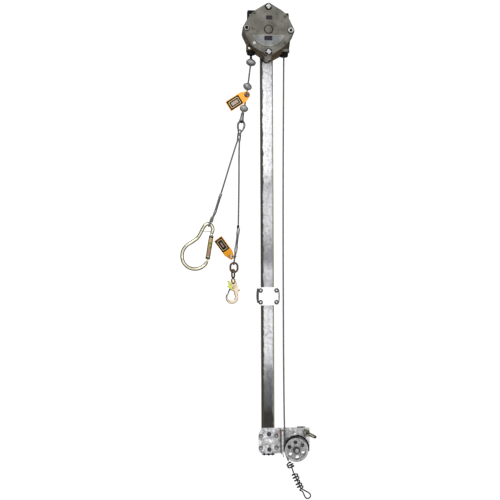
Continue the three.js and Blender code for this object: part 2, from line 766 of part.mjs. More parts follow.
// The tail cord: a coiled knot, a straight core, a hand loop, and wraps back up round the core.
const TAIL_AXIS = { from: [81, -662], to: [125, -760] };
const TAIL_R = 2.75;
const HAND_LOOP = [
  [133, -765], [146, -772.5], [157, -779], [163.4, -786.5], [163, -795], [156.5, -800.8],
  [148.5, -801], [142.5, -795.5], [138.3, -787], [134.8, -778],
];

function tailRoute() {
  const [x0, z0] = TAIL_AXIS.from;
  const [x1, z1] = TAIL_AXIS.to;
  const length = Math.hypot(x1 - x0, z1 - z0);
  const ux = (x1 - x0) / length;
  const uz = (z1 - z0) / length;
  const place = (along, across, depth) => [
    x0 + ux * along - uz * across,
    ROPE_Y + depth,
    z0 + uz * along + ux * across,
  ];
  const around = (along, r, sixth) => {
    const angle = (sixth * Math.PI) / 3;
    return place(along, r * Math.sin(angle), -r * Math.cos(angle));
  };
  const route = [place(-8.5, 0, 0)];
  for (let i = 1; i <= 15; i += 1) {
    route.push(around(-5 + 1.5 * i, Math.min(12, 4 * i), i));
  }
  route.push(place(26, 1, 9), place(35, 0, 3));
  for (let along = 46; along <= 106; along += 15) {
    route.push(place(along, 0, 0));
  }
  route.push(...HAND_LOOP.map(([x, z]) => [x, ROPE_Y, z]), place(118, -1, -4), place(112, -6.5, -6));
  for (let i = 0; i <= 12; i += 1) {
    route.push(around(108 - 2 * i, 11, i));
  }
  for (let i = 13; i <= 16; i += 1) {
    route.push(around(84 - 3 * (i - 12), 8, i));
  }
  for (let i = 17; i <= 28; i += 1) {
    route.push(around(72 - 2 * (i - 16), 11.5, i));
  }
  return route;
}

const BALLS = [
  { x: -65.4, z: 927, across: 19.7, along: 13.5, tilt: 12 },
  { x: -79.4, z: 832, across: 17.8, along: 13.5, tilt: 24 },
  { x: -93.8, z: 745, across: 17.2, along: 13.5, tilt: 14 },
];

// A flattened swaged ball, its rim a little proud, bored for the rope.
function stopBall({ x, z, across, along, tilt }) {
  const points = [];
  for (let i = 0; i <= 8; i += 1) {
    const angle = -Math.PI / 2 + (Math.PI * i) / 8;
    const flat = Math.sign(Math.sin(angle)) * Math.abs(Math.sin(angle)) ** 0.9;
    points.push(new THREE.Vector2(across * Math.cos(angle) ** 0.8, along * flat));
  }
  points[0].x = 0;
  points[8].x = 0;
  const geometry = new THREE.LatheGeometry(points, 18).rotateX(Math.PI / 2);
  geometry.rotateY(tilt * DEG).translate(x, ROPE_Y, z);
  return cut(solidFrom(geometry), rod(LEFT_ROPE, ROPE_R + 0.5));
}

// The swaged eye terminal at the end of the left rope. The lanyard's bight runs through its eye.
function eyeSleeve() {
  const top = [-98.3, ROPE_Y, 728.5];
  const end = [-104, ROPE_Y, 696];
  const body = barBetween(end, top, 9.4, 6.4, 14);
  const tip = solidFrom(new THREE.SphereGeometry(9.4, 14, 8).translate(...end));
  return cut(
    join(body, tip),
    rod(LEFT_ROPE, ROPE_R + 0.5),
    rod(LANYARD, ROPE_R + 0.9),
  );
}

// A double-barrel crimp over both strands of the lanyard.
function lanyardCrimp(x, z) {
  const half = 4.6;
  const barrels = [-4.2, 4.2].map((side) => barZ(x + side, ROPE_Y, z - half, z + half, 5));
  const web = box(x - 4.2, x + 4.2, ROPE_Y - 4.6, ROPE_Y + 4.6, z - half, z + half);
  return cut(join(...barrels, web), rod(LANYARD, ROPE_R + 0.5));
}

// An eye splice: the rope comes down to a ferrule, runs doubled to a second ferrule, goes round the
// fitting's bar in the depth direction and comes back up beside itself.
function eyeSplice({ top, ferrules, bar, eyeR, ferruleHalf, sleeve }) {
  const start = new THREE.Vector3(top[0], ROPE_Y, top[1]);
  const centre = new THREE.Vector3(bar[0], ROPE_Y, bar[1]);
  const lower = new THREE.Vector3(ferrules[1][0], ROPE_Y, ferrules[1][1]);
  const upper = new THREE.Vector3(ferrules[0][0], ROPE_Y, ferrules[0][1]);
  const down = centre.clone().sub(lower).normalize();
  const side = new THREE.Vector3(down.z, 0, -down.x);
  const depth = new THREE.Vector3(0, 1, 0);
  const pair = (point, sign) =>
    point.clone().addScaledVector(side, 1.9 * sign).addScaledVector(depth, -1.9 * sign);
  const nearEye = centre.clone().addScaledVector(down, -eyeR * 1.5);
  const loop = [];
  for (const turn of [-60, -30, 0, 30, 60, 90, 120, 150, 180, 210, 240]) {
    const point = centre.clone();
    point.addScaledVector(depth, -eyeR * Math.cos(turn * DEG));
    point.addScaledVector(down, eyeR * Math.sin(turn * DEG));
    if (turn >= 0 && turn <= 180) loop.push(point);
  }
  const neck = (sign) => nearEye.clone().addScaledVector(depth, -0.72 * eyeR * sign);
  const deadEnd = upper.clone().addScaledVector(down, 1 - ferruleHalf);
  const points = [
    start,
    pair(upper, 1),
    pair(upper.clone().lerp(lower, 0.5), 1),
    pair(lower, 1),
    neck(1),
    ...loop,
    neck(-1),
    pair(lower, -1),
    pair(upper.clone().lerp(lower, 0.5), -1),
    pair(upper, -1),
    pair(deadEnd, -1),
  ].map((p) => p.toArray());
  const ends = [upper, lower].map((middle) => {
    const shift = down.clone().multiplyScalar(ferruleHalf);
    const from = middle.clone().sub(shift);
    const to = middle.clone().add(shift);
    return barBetween(from.toArray(), to.toArray(), 6.2, 6.2, 14);
  });
  const pieces = [rod(points, ROPE_R), ...ends];
  if (sleeve) {
    const from = start.clone().addScaledVector(down, 0.5);
    pieces.push(barBetween(from.toArray(), upper.toArray(), 4, 4, 12));
  }
  return join(...pieces);
}

const LEFT_EYE_BAR = [-231, 288.3];
const LEFT_SPLICE = {
  top: [-185.9, 408.3],
  ferrules: [[-188, 401.7], [-209.6, 335.4]],
  bar: LEFT_EYE_BAR,
  eyeR: 8.9,
  ferruleHalf: 7.5,
};
const LINK = { x: -136, z: 116.8, halfWidth: 14.2, halfHeight: 18.2, rodR: 3.5 };
const RIGHT_SPLICE = {
  top: [-118.1, 284.7],
  ferrules: [[-119, 259], [-127.6, 190]],
  bar: [LINK.x, LINK.z + LINK.halfHeight],
  eyeR: 6.5,
  ferruleHalf: 11.5,
  sleeve: true,
};

// ---- Tags ----
const TAG_LENGTH = 88;
const TAG_HALF_WIDTH = 22;
const TAG_T = 1.6;

// A tag drawn along +X from its hole, then turned in the XZ plane and moved to its hole's place.
function tagPlate(hole, turn, roll, holeR) {
  const end = -TAG_LENGTH;
  const outline = polygon([
    [end, -TAG_HALF_WIDTH],
    [-16, -TAG_HALF_WIDTH],
    [8, -11],
    [12, -6],
    [12, 6],
    [8, 11],
    [-16, TAG_HALF_WIDTH],
    [end, TAG_HALF_WIDTH],
  ]);
  outline.holes.push(circle(0, 0, holeR));
  const options = { depth: TAG_T, bevelEnabled: false, curveSegments: 6 };
  const geometry = new THREE.ExtrudeGeometry(outline, options);
  geometry.translate(0, 0, -TAG_T / 2);
  geometry.rotateX(Math.PI / 2 + roll * DEG);
  geometry.rotateY(-turn * DEG);
  return solidFrom(geometry.translate(...hole));
}

const splitRing = (centre, r) =>
  solidFrom(new THREE.TorusGeometry(r, 1.2, 6, 18).translate(...centre));

// Each tag hangs on a small split ring round its rope.
function upperTag() {
  const plate = tagPlate([-82.2, ROPE_Y - 6, 798.5], 32.6, 4, 7.6);
  return join(plate, splitRing([-82.3, ROPE_Y - 2.5, 798.5], 8));
}

function lowerTag() {
  const plate = tagPlate([-147.7, ROPE_Y, 160.3], -54, 36, 5.5);
  return join(plate, splitRing([-139.2, ROPE_Y, 160.3], 14));
}

// ---- Carabiner ----
const GATE_TOP = [-223.2, 250.5];
const GATE_HINGE = [-241.2, 143];
const CARABINER_R = 5.7;
const CARABINER = inRopePlane([
  [-241.6, 139.5],
  [-250, 127.3],
  [-270, 113.8],
  [-294, 110.5],
  [-319, 119.2],
  [-336.5, 139],
  [-341.5, 163],
  [-336.5, 187],
  [-321, 206.5],
  [-297, 222],
  [-279.5, 235],
  [-267.5, 253.5],
  [-257.3, 273],
  [-248.5, 285.5],
  [-238, 291],
  [-225.5, 286.5],
  [-218.2, 271],
  [-221, 255.8],
]);

const gatePoint = (share, y = ROPE_Y) => [
  GATE_HINGE[0] + (GATE_TOP[0] - GATE_HINGE[0]) * share,
  y,
  GATE_HINGE[1] + (GATE_TOP[1] - GATE_HINGE[1]) * share,
];

function carabinerBody() {
  const frame = rod(CARABINER, CARABINER_R, 2);
  const ears = [-1, 1].map((side) => {
    const y = ROPE_Y + side * 4.6;
    const ear = barY(GATE_HINGE[0], GATE_HINGE[1], y - 1.2, y + 1.2, 5.4);
    const root = barBetween([GATE_HINGE[0], y, GATE_HINGE[1]], [-245.5, y, 133], 3, 3.6, 10);
    return join(ear, root.intersect(box(-260, -230, y - 1.2, y + 1.2, 120, 150)));
  });
  const pin = barY(GATE_HINGE[0], GATE_HINGE[1], ROPE_Y - 7, ROPE_Y + 7, 1.8, 1.8, 12);
  const slot = box(-256, -228, ROPE_Y - 3.3, ROPE_Y + 3.3, 136, 152);
  return join(cut(frame, slot), ...ears, pin);
}

function carabinerGate() {
  const knuckle = barY(GATE_HINGE[0], GATE_HINGE[1], ROPE_Y - 3, ROPE_Y + 3, 4.6);
  const neck = barBetween(gatePoint(0.02), gatePoint(0.1), 2.8, 2.8, 12);
  const stem = barBetween(gatePoint(0.08), gatePoint(0.965), 4.6);
  const lowBand = barBetween(gatePoint(0.075), gatePoint(0.1), 6.6);
  const nose = barBetween(gatePoint(0.94), gatePoint(1), 6, 5.2);
  const bore = barY(GATE_HINGE[0], GATE_HINGE[1], ROPE_Y - 8, ROPE_Y + 8, 2.1, 2.1, 12);
  return cut(join(knuckle, neck, stem, lowBand, nose), bore);
}

function gateSleeve() {
  const outer = barBetween(gatePoint(0.11), gatePoint(0.93), 8.3, 8.3, 18);
  return cut(outer, barBetween(gatePoint(0.05), gatePoint(0.98), 5.2, 5.2, 18));
}

const captivePin = () => barBetween([-257.2, ROPE_Y, 259.4], [-226.8, ROPE_Y, 259.4], 1.3, 1.3, 10);

// ---- Snap hook ----
const HOOK = { x: -139.3, ringX: -144.4, ringZ: -1.7, ringR: 25, holeX: -147.5, holeZ: 0.5 };
const HOOK_HALF_T = 5.5;
const SWIVEL_TURN = 58 * DEG;

const ovalChainLink = () =>
  ovalLink([LINK.x, ROPE_Y, LINK.z], [0, 0, 1], [1, 0, 0], 8, LINK.halfWidth, LINK.rodR, 10);

function swivelEye() {
  const top = LINK.z - LINK.halfHeight;
  const end = 10;
  const reach = 13;
  const across = [Math.cos(SWIVEL_TURN), Math.sin(SWIVEL_TURN), 0];
  const loop = ovalLink([HOOK.x, ROPE_Y, top - reach / 2], [0, 0, 1], across, reach, end, 2.8);
  const stem = barZ(HOOK.x, ROPE_Y, 54, top - reach - end, 4.4);
  const button = barZ(HOOK.x, ROPE_Y, 51, 55.5, 5.6);
  return join(loop, stem, button);
}

function hookBody() {
  const ring = new THREE.Shape();
  ring.absarc(HOOK.ringX, HOOK.ringZ, HOOK.ringR, 146 * DEG, 418 * DEG);
  ring.lineTo(-128, 40);
  ring.lineTo(-136, 24);
  ring.absarc(HOOK.holeX, HOOK.holeZ, 15, 45 * DEG, 140 * DEG - 360 * DEG, true);
  ring.closePath();
  const spine = polygon([
    [-136, 20],
    [-120, 6],
    [-118.6, 28],
    [-121.5, 46],
    [-130, 60],
    [-131, 71],
    [-148, 71],
    [-149, 60],
    [-154, 46],
    [-156, 38],
    [-154, 30],
  ]);
  const halfT = HOOK_HALF_T;
  const hookRing = plateY(ring, ROPE_Y - halfT, ROPE_Y + halfT, 9);
  const plate = plateY(spine, ROPE_Y - halfT, ROPE_Y + halfT);
  const barrel = barZ(HOOK.x, ROPE_Y, 57, 71, 8.5);
  const tab = barBetween([-122, ROPE_Y, 27.5], [-111.5, ROPE_Y, 26], 3.4, 2.6, 12);
  return cut(
    join(hookRing, plate, barrel, tab),
    barZ(HOOK.x, ROPE_Y, 50, 72, 4.9),
    box(HOOK.x - 8, HOOK.x + 8, ROPE_Y - 12, ROPE_Y + 12, 48, 57.2),
    box(-175, -143.5, ROPE_Y - 2.4, ROPE_Y + 2.4, 4, 44),
    barY(HOOK_GATE_PIN[0], HOOK_GATE_PIN[1], ROPE_Y - 9, ROPE_Y + 9, 2.3, 2.3, 12),
  );
}

const HOOK_GATE_PIN = [-149.5, 35.5];

// The gate: a thin strap from its pin down to the hook's nose, with the pin's ends proud.
function hookGate() {
  const shape = polygon([
    [-153, 37],
    [-150, 39.2],
    [-146.4, 36.4],
    [-147.5, 32.4],
    [-155, 21],
    [-160, 7.5],
    [-163, 8.5],
    [-160, 22],
  ]);
  const strap = plateY(shape, ROPE_Y - 2.1, ROPE_Y + 2.1);
  const pin = barY(HOOK_GATE_PIN[0], HOOK_GATE_PIN[1], ROPE_Y - 5.3, ROPE_Y + 7, 2, 2, 12);
  return join(strap, pin);
}

const LEVER_PIN = [-140.5, 37];

// The lock lever lies on the hook's front face and turns on its own pin.
function lockLever() {
  const shape = polygon([
    [-163, 63],
    [-158, 67],
    [-153, 61],
    [-146, 50],
    [-136, 40],
    [-136.5, 33],
    [-144, 29],
    [-154, 33],
    [-161, 41],
    [-158, 52],
  ]);
  const front = ROPE_Y - HOOK_HALF_T - GAP;
  const plate = plateY(shape, front - 3.4, front);
  const rivet = barY(LEVER_PIN[0], LEVER_PIN[1], front - 5.2, front - 3, 3.4);
  const stop = barY(-161.5, 41.5, front - 5, front - 0.2, 2.6, 2.6, 12);
  return join(plate, rivet, stop);
}

// ---- Assembly ----
addPart("rear_housing", rearHousing(), CAST);
addPart("front_cover", frontCover(), CAST);
addPart("cover_gasket", coverGasket(), RUBBER);
addPart("rope_bumper_left", ropeBumper(-SHEAVE_PITCH_R, LEFT_PORT_Z - GAP, 16.7), RUBBER);
addPart("rope_bumper_right", ropeBumper(SHEAVE_PITCH_R + 0.5, RIGHT_PORT_Z - GAP, 17), RUBBER);
headFasteners();
addPart("head_plate", headPlate(), ZINC);
addPart("main_shaft", mainShaft(), STEEL);
addPart("rope_sheave", ropeSheave(), STEEL);
addPart("drive_gear", spurGear(0, HEAD_Z, DRIVE_TEETH, Math.PI / 2, SHAFT_R + GAP), STEEL);
const housingFloor = HEAD_BACK - HOUSING_WALL - GAP;
const coverFloor = COVER_FRONT + COVER_WALL + GAP;
addPart("bearing_rear", bearing(housingFloor - BEARING_T, housingFloor), BRASS);
addPart("bearing_front", bearing(coverFloor, coverFloor + 5.5), BRASS);
addPart("brake_rotor", brakeRotor(), STEEL);
addPart("brake_drum", brakeDrum(), CAST);
addPart("brake_shoe_1", brakeShoe(1), CAST);
addPart("brake_shoe_2", brakeShoe(-1), CAST);

addPart("mast_tube", mastTube(), ZINC);
addPart("clamp_front_plate", clampFrontPlate(), ZINC);
addPart("clamp_rear_channel", clampRearChannel(), ZINC);
clampBolts();

addPart("wheel_plate", wheelPlate(), ZINC);
addPart("bracket_front_plate", bracketFrontPlate(), ZINC);
addPart("u_bolt_upper", squareUBolt(UBOLT_Z[0]), ZINC);
addPart("u_bolt_lower", squareUBolt(UBOLT_Z[1]), ZINC);
addPart("guide_wheel", guideWheel(), STEEL);
addPart("wheel_axle", wheelAxle(), ZINC);
addPart("wheel_bearing", wheelBearing(), BRASS);
addPart("corner_ring", cornerRing(), STEEL);
addPart("corner_link", cornerLink(), STEEL);

addPart("main_rope", rod(mainRopeRoute(), ROPE_R), WIRE);
addPart("left_rope", rod(LEFT_ROPE, ROPE_R), WIRE);
addPart("tail_rope", rod(tailRoute(), TAIL_R), TAIL);
addPart("lanyard_rope", rod(LANYARD, ROPE_R), WIRE);
BALLS.forEach((ball, i) => addPart(`stop_ball_${i + 1}`, stopBall(ball), STEEL));
addPart("eye_sleeve", eyeSleeve(), STEEL);
addPart("lanyard_crimp_upper", lanyardCrimp(-113, 642), STEEL);
addPart("lanyard_crimp_lower", lanyardCrimp(-114.8, 622), STEEL);
addPart("left_eye_splice", eyeSplice(LEFT_SPLICE), WIRE);
addPart("right_eye_splice", eyeSplice(RIGHT_SPLICE), WIRE);
addPart("tag_upper", upperTag(), TAG);
addPart("tag_lower", lowerTag(), TAG);

addPart("carabiner_body", carabinerBody(), GOLD);
addPart("carabiner_gate", carabinerGate(), BRIGHT);
addPart("gate_sleeve", gateSleeve(), OLIVE);
addPart("captive_pin", captivePin(), STEEL);
addPart("oval_link", ovalChainLink(), BRONZE);
addPart("swivel_eye", swivelEye(), BRONZE);
addPart("hook_body", hookBody(), GOLD);
addPart("hook_gate", hookGate(), STEEL);
addPart("lock_lever", lockLever(), LEVER);

export default group;
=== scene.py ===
"""A mast-mounted wire-rope descent head with its guide wheel, lanyard, carabiner and snap hook."""
import math

import bmesh
import bpy
from mathutils import Euler, Matrix, Vector


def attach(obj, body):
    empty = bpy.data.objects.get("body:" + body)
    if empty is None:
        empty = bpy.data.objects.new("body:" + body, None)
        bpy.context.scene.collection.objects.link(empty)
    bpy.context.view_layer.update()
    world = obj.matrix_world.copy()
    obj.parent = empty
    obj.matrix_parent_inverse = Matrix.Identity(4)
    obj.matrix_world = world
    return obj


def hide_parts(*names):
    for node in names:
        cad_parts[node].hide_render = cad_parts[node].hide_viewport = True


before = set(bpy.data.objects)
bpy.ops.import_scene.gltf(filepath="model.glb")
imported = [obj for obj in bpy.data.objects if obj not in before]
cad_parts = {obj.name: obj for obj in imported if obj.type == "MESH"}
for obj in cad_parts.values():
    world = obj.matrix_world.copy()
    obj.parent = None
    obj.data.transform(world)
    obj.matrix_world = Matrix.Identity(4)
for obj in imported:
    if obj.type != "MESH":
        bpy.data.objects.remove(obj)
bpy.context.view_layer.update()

SCENE = bpy.context.scene
MM = 0.001
UP = Vector((0, 0, 1))

# ---- Sizes in millimetres, as in the CAD part ----
ROPE_R = 2.4
ROPE_Y = -96.0
SHEAVE_R = 65.0
HEAD_Z = 1040.0
HEAD_R = 91
LOBES = [(-3.0, 86.0), (90.0, 88.0), (177.0, 86.0), (270.0, 88.0)]
LOBE_R = 15.0
WHEEL = Vector((108.0, ROPE_Y, -606.0))
WHEEL_ROPE_R = 45.2
EYE = Vector((151.0, -75.0, -545.0))
LINK = Vector((-136.0, ROPE_Y, 116.8))
HOOK_X = -139.3
DRAWN_ROPE_R = ROPE_R + 0.9
MAST_PLATE = (-64.4, -59.4)
CARABINER_ROD_R = 6.9
CARABINER_INSET = 1.2


def place_camera():
    data = bpy.data.cameras.new("camera")
    data.lens = 59.4
    data.sensor_width = 36
    camera = bpy.data.objects.new("camera", data)
    turn = Euler((math.pi / 2, 0, math.radians(-3))).to_matrix().to_4x4()
    roll = Matrix.Rotation(math.radians(-0.25), 4, "Z")
    camera.matrix_world = Matrix.Translation((-0.2431, -3.3546, 0.1856)) @ turn @ roll
    SCENE.collection.objects.link(camera)
    SCENE.camera = camera


# ---- Materials ----
class Nodes:
    """A short way to wire a material's nodes."""

    def __init__(self, name):
        self.material = bpy.data.materials.new(name)
        self.material.use_nodes = True
        self.tree = self.material.node_tree
        self.shader = self.tree.nodes["Principled BSDF"]
        self.place = self.add("ShaderNodeTexCoord").outputs["Object"]

    def add(self, kind, inputs=(), **settings):
        node = self.tree.nodes.new(kind)
        for key, value in settings.items():
            setattr(node, key, value)
        for key, value in dict(inputs).items():
            if isinstance(value, bpy.types.NodeSocket):
                self.tree.links.new(value, node.inputs[key])
            else:
                node.inputs[key].default_value = value
        return node

    def stretched(self, scale):
        return self.add("ShaderNodeMapping", {"Vector": self.place, "Scale": scale}).outputs[0]

    def noise(self, scale, detail=4.0, vector=None, rough=0.55):
        inputs = {
            "Vector": vector or self.place,
            "Scale": scale,
            "Detail": detail,
            "Roughness": rough,
        }
        return self.add("ShaderNodeTexNoise", inputs).outputs["Fac"]

    def cells(self, scale):
        inputs = {"Vector": self.place, "Scale": scale}
        colour = self.add("ShaderNodeTexVoronoi", inputs).outputs["Color"]
        return self.add("ShaderNodeSeparateColor", {"Color": colour}).outputs[0]

    def ramp(self, factor, *stops):
        node = self.add("ShaderNodeValToRGB", {"Fac": factor})
        points = node.color_ramp.elements
        while len(points) < len(stops):
            points.new(0.5)
        for point, (at, colour) in zip(points, stops):
            point.position = at
            point.color = (*colour, 1)
        return node.outputs["Color"]

    def mix(self, factor, a, b, blend="MIX"):
        node = self.add("ShaderNodeMix", data_type="RGBA", blend_type=blend)
        for socket, value in ((node.inputs[0], factor), (node.inputs[6], a), (node.inputs[7], b)):
            if isinstance(value, bpy.types.NodeSocket):
                self.tree.links.new(value, socket)
            elif socket == node.inputs[0]:
                socket.default_value = value
            else:
                socket.default_value = (*value, 1)
        return node.outputs[2]

    def remap(self, value, low, high, start=0.0, end=1.0):
        inputs = {
            "Value": value,
            "From Min": start,
            "From Max": end,
            "To Min": low,
            "To Max": high,
        }
        return self.add("ShaderNodeMapRange", inputs).outputs[0]

    def height(self):
        return self.add("ShaderNodeSeparateXYZ", {"Vector": self.place}).outputs[2]

    def finish(self, colour, roughness, metallic, bump=None, strength=0.2, depth=0.0003, **values):
        link = self.tree.links.new
        link(colour, self.shader.inputs["Base Color"])
        if isinstance(roughness, bpy.types.NodeSocket):
            link(roughness, self.shader.inputs["Roughness"])
        else:
            self.shader.inputs["Roughness"].default_value = roughness
        self.shader.inputs["Metallic"].default_value = metallic
        if bump is not None:
            inputs = {"Height": bump, "Strength": strength, "Distance": depth}
            link(self.add("ShaderNodeBump", inputs).outputs[0], self.shader.inputs["Normal"])
        for key, value in values.items():
            self.shader.inputs[key.replace("_", " ")].default_value = value
        return self.material


def cast_metal(name, dark, mid, light, stain):
    """Painted casting: a hammered skin, broad tone changes and brown dirt in patches."""
    n = Nodes(name)
    broad = n.noise(18, 6, None, 0.68)
    fine = n.noise(420, 3)
    tone = n.ramp(broad, (0.34, dark), (0.5, mid), (0.66, light))
    dirt = n.remap(n.noise(34, 6), 0, 1, 0.56, 0.72)
    colour = n.mix(dirt, tone, stain)
    speck = n.remap(fine, 0.82, 1.12, 0.3, 0.7)
    colour = n.mix(1.0, colour, n.ramp(speck, (0, (0.8, 0.8, 0.8)), (1, (1, 1, 1))), "MULTIPLY")
    rough = n.remap(fine, 0.5, 0.78, 0.3, 0.7)
    return n.finish(colour, rough, 0.35, n.noise(700, 2), 0.35, 0.0004)


def galvanised(name, dark, light, stretch=(60, 60, 5), by_height=None, edges=False, metallic=0.6):
    """Hot-dip zinc: crystal spangle, streaks along the tube and dull grey bloom."""
    n = Nodes(name)
    spangle = n.cells(150)
    streaks = n.noise(1.0, 6, n.stretched(stretch), 0.7)
    mid = tuple((a + b) / 2 for a, b in zip(dark, light))
    tone = n.ramp(streaks, (0.34, dark), (0.5, mid), (0.62, light))
    patches = n.noise(95, 6, None, 0.66)
    blotch = n.ramp(patches, (0.36, (0.6, 0.59, 0.62)), (0.46, (0.88, 0.88, 0.9)), (0.6, (1.0, 1.0, 0.98)))
    tone = n.mix(1.0, tone, blotch, "MULTIPLY")
    grain = n.ramp(spangle, (0.0, (0.8, 0.81, 0.82)), (1.0, (1.0, 1.0, 1.0)))
    colour = n.mix(0.75, tone, grain, "MULTIPLY")
    bloom = n.remap(n.noise(45, 5), 0, 0.6, 0.52, 0.75)
    colour = n.mix(bloom, colour, tuple(0.85 * c for c in mid))
    if by_height:
        drift = n.remap(n.noise(24, 5), -0.012, 0.012, 0.3, 0.7)
        at = n.remap(n.height(), 0, 1, -0.64, 1.0)
        at = n.add("ShaderNodeMath", {0: at, 1: drift}, operation="ADD").outputs[0]
        colour = n.mix(1.0, colour, n.ramp(at, *by_height), "MULTIPLY")
    # painted shade down the mast's two corners
    if edges:
        colour = painted_corner_shade(n, colour)
    mixed = n.mix(0.5, n.ramp(spangle, (0, (0, 0, 0)), (1, (1, 1, 1))), streaks)
    roughness = n.remap(mixed, 0.35, 0.62)
    return n.finish(colour, roughness, metallic, n.noise(260, 4), 0.25, 0.0003)


def painted_corner_shade(n, colour):
    """Painted shade that darkens the mast's left corner, with a wandering edge, and a lighter olive painted
    shade along its right corner.
    """
    across = n.add("ShaderNodeSeparateXYZ", {"Vector": n.place}).outputs[0]
    wander = n.remap(n.noise(1.0, 5, n.stretched((20, 20, 26)), 0.7), -0.003, 0.003, 0.3, 0.7)
    at = n.add("ShaderNodeMath", {0: across, 1: wander}, operation="ADD").outputs[0]
    left = n.remap(at, 1.0, 0.0, -0.0178, -0.0155)
    right = n.remap(at, 0.0, 0.85, 0.0172, 0.0205)
    colour = n.mix(right, colour, (0.22, 0.21, 0.15))
    return n.mix(left, colour, (0.035, 0.031, 0.017))


def metal(name, dark, light, scale=60, rough=(0.22, 0.45), metallic=0.9, bump=0.15, stretch=None):
    """Plated or machined metal with slight tone changes, scuffs and fine scratches."""
    n = Nodes(name)
    broad = n.noise(scale, 5)
    fine = n.noise(1.0 if stretch else 900, 4, n.stretched(stretch) if stretch else None)
    colour = n.ramp(broad, (0.32, dark), (0.68, light))
    scuff = n.remap(n.noise(scale * 3.5, 7, None, 0.7), 0, 0.45, 0.58, 0.8)
    colour = n.mix(scuff, colour, tuple(min(1.0, c * 1.3) for c in light))
    return n.finish(colour, n.remap(fine, rough[0], rough[1], 0.3, 0.7), metallic, fine, bump, 0.0002)


def iridescent(name):
    """Yellow chromate zinc: olive, gold and pink bands round the barrel."""
    n = Nodes(name)
    bands = n.noise(1.0, 3, n.stretched((45, 45, 70)))
    colour = n.ramp(
        bands,
        (0.3, (0.1, 0.085, 0.03)),
        (0.42, (0.24, 0.23, 0.06)),
        (0.52, (0.38, 0.27, 0.1)),
        (0.6, (0.36, 0.17, 0.2)),
        (0.72, (0.26, 0.28, 0.08)),
    )
    fine = n.noise(800, 3)
    return n.finish(colour, n.remap(fine, 0.25, 0.5, 0.3, 0.7), 0.75, fine, 0.2, 0.0002)


def rubber(name, base, light):
    n = Nodes(name)
    fine = n.noise(1100, 3)
    dust = n.remap(n.noise(70, 6), 0, 0.5, 0.5, 0.8)
    grain = n.ramp(fine, (0.35, tuple(0.7 * c for c in base)), (0.65, tuple(1.3 * c for c in base)))
    return n.finish(n.mix(dust, grain, light), 0.78, 0.0, fine, 0.3, 0.0002, Specular_IOR_Level=0.2)


def rope_metal(name, dark, light, metallic=0.65):
    """Wires: fine bright and dark lines over the strands' own shape."""
    n = Nodes(name)
    wires = n.noise(1300, 4)
    grime = n.remap(n.noise(30, 5), 0.0, 0.6, 0.48, 0.72)
    colour = n.mix(grime, n.ramp(wires, (0.35, dark), (0.6, light)), dark)
    rough = n.remap(wires, 0.5, 0.75, 0.3, 0.7)
    return n.finish(colour, rough, metallic, wires, 0.5, 0.0003, Specular_IOR_Level=0.2)


def sheet_plastic(name, base, light):
    n = Nodes(name)
    broad = n.noise(28, 4)
    wear = n.remap(n.noise(120, 7, None, 0.7), 0, 0.5, 0.6, 0.8)
    colour = n.mix(wear, n.ramp(broad, (0.3, base), (0.7, light)), tuple(c * 0.72 for c in base))
    fine = n.noise(1500, 2)
    return n.finish(colour, n.remap(broad, 0.32, 0.5, 0.3, 0.7), 0.0, fine, 0.15, 0.0001, Coat_Weight=0.2)


CAST = cast_metal("cast_body", (0.06, 0.058, 0.048), (0.11, 0.105, 0.09), (0.165, 0.158, 0.138),
                  (0.07, 0.055, 0.032))
# a darker copy of the casting, as painted shade on faces turned away from the front
CAST_SIDE_SHADE = cast_metal("cast_side_shade", (0.03, 0.024, 0.009), (0.062, 0.05, 0.02), (0.1, 0.082, 0.036),
                       (0.055, 0.034, 0.011))
CAST_RUST = cast_metal("cast_rust", (0.035, 0.019, 0.006), (0.085, 0.047, 0.013), (0.16, 0.088, 0.026),
                       (0.05, 0.024, 0.007))
# a light grey casting as painted light on the drip cone, whose underside faces away from the lamps
CAST_TIP_LIT = cast_metal("cast_tip_lit", (0.3, 0.29, 0.26), (0.45, 0.44, 0.4), (0.6, 0.59, 0.54), (0.25, 0.18, 0.12))
CAST_LIGHT = cast_metal("cast_panel", (0.11, 0.115, 0.115), (0.16, 0.166, 0.168), (0.24, 0.25, 0.255),
                        (0.1, 0.1, 0.085))
# a lighter casting for the panel rim, and a painted highlight on the right rope port's ring
CAST_RIM_AND_HIGHLIGHT = cast_metal("cast_rim_and_highlight", (0.17, 0.17, 0.145), (0.27, 0.27, 0.23), (0.38, 0.38, 0.33),
                      (0.12, 0.115, 0.09))
# black rubber; the same material also makes black pieces and faces that are painted shade and shadow
BLACK_RUBBER_AND_SHADE = rubber("black_rubber_and_shade", (0.004, 0.004, 0.004), (0.022, 0.021, 0.02))
DARK_PLATE = rubber("dark_plate", (0.016, 0.014, 0.02), (0.045, 0.04, 0.05))
ZINC = metal("zinc", (0.2, 0.2, 0.2), (0.52, 0.52, 0.515), 120, (0.25, 0.5))
BRIGHT = metal("bright_zinc", (0.42, 0.41, 0.42), (0.74, 0.73, 0.74), 150, (0.2, 0.42))
DARK_ZINC = metal("dark_zinc", (0.025, 0.022, 0.028), (0.1, 0.095, 0.11), 150, (0.35, 0.6))
STEEL = metal("steel", (0.2, 0.195, 0.185), (0.45, 0.445, 0.43), 90, (0.28, 0.52))
WHEEL_METAL = metal("wheel_metal", (0.2, 0.2, 0.2), (0.44, 0.44, 0.44), 70, (0.3, 0.55))
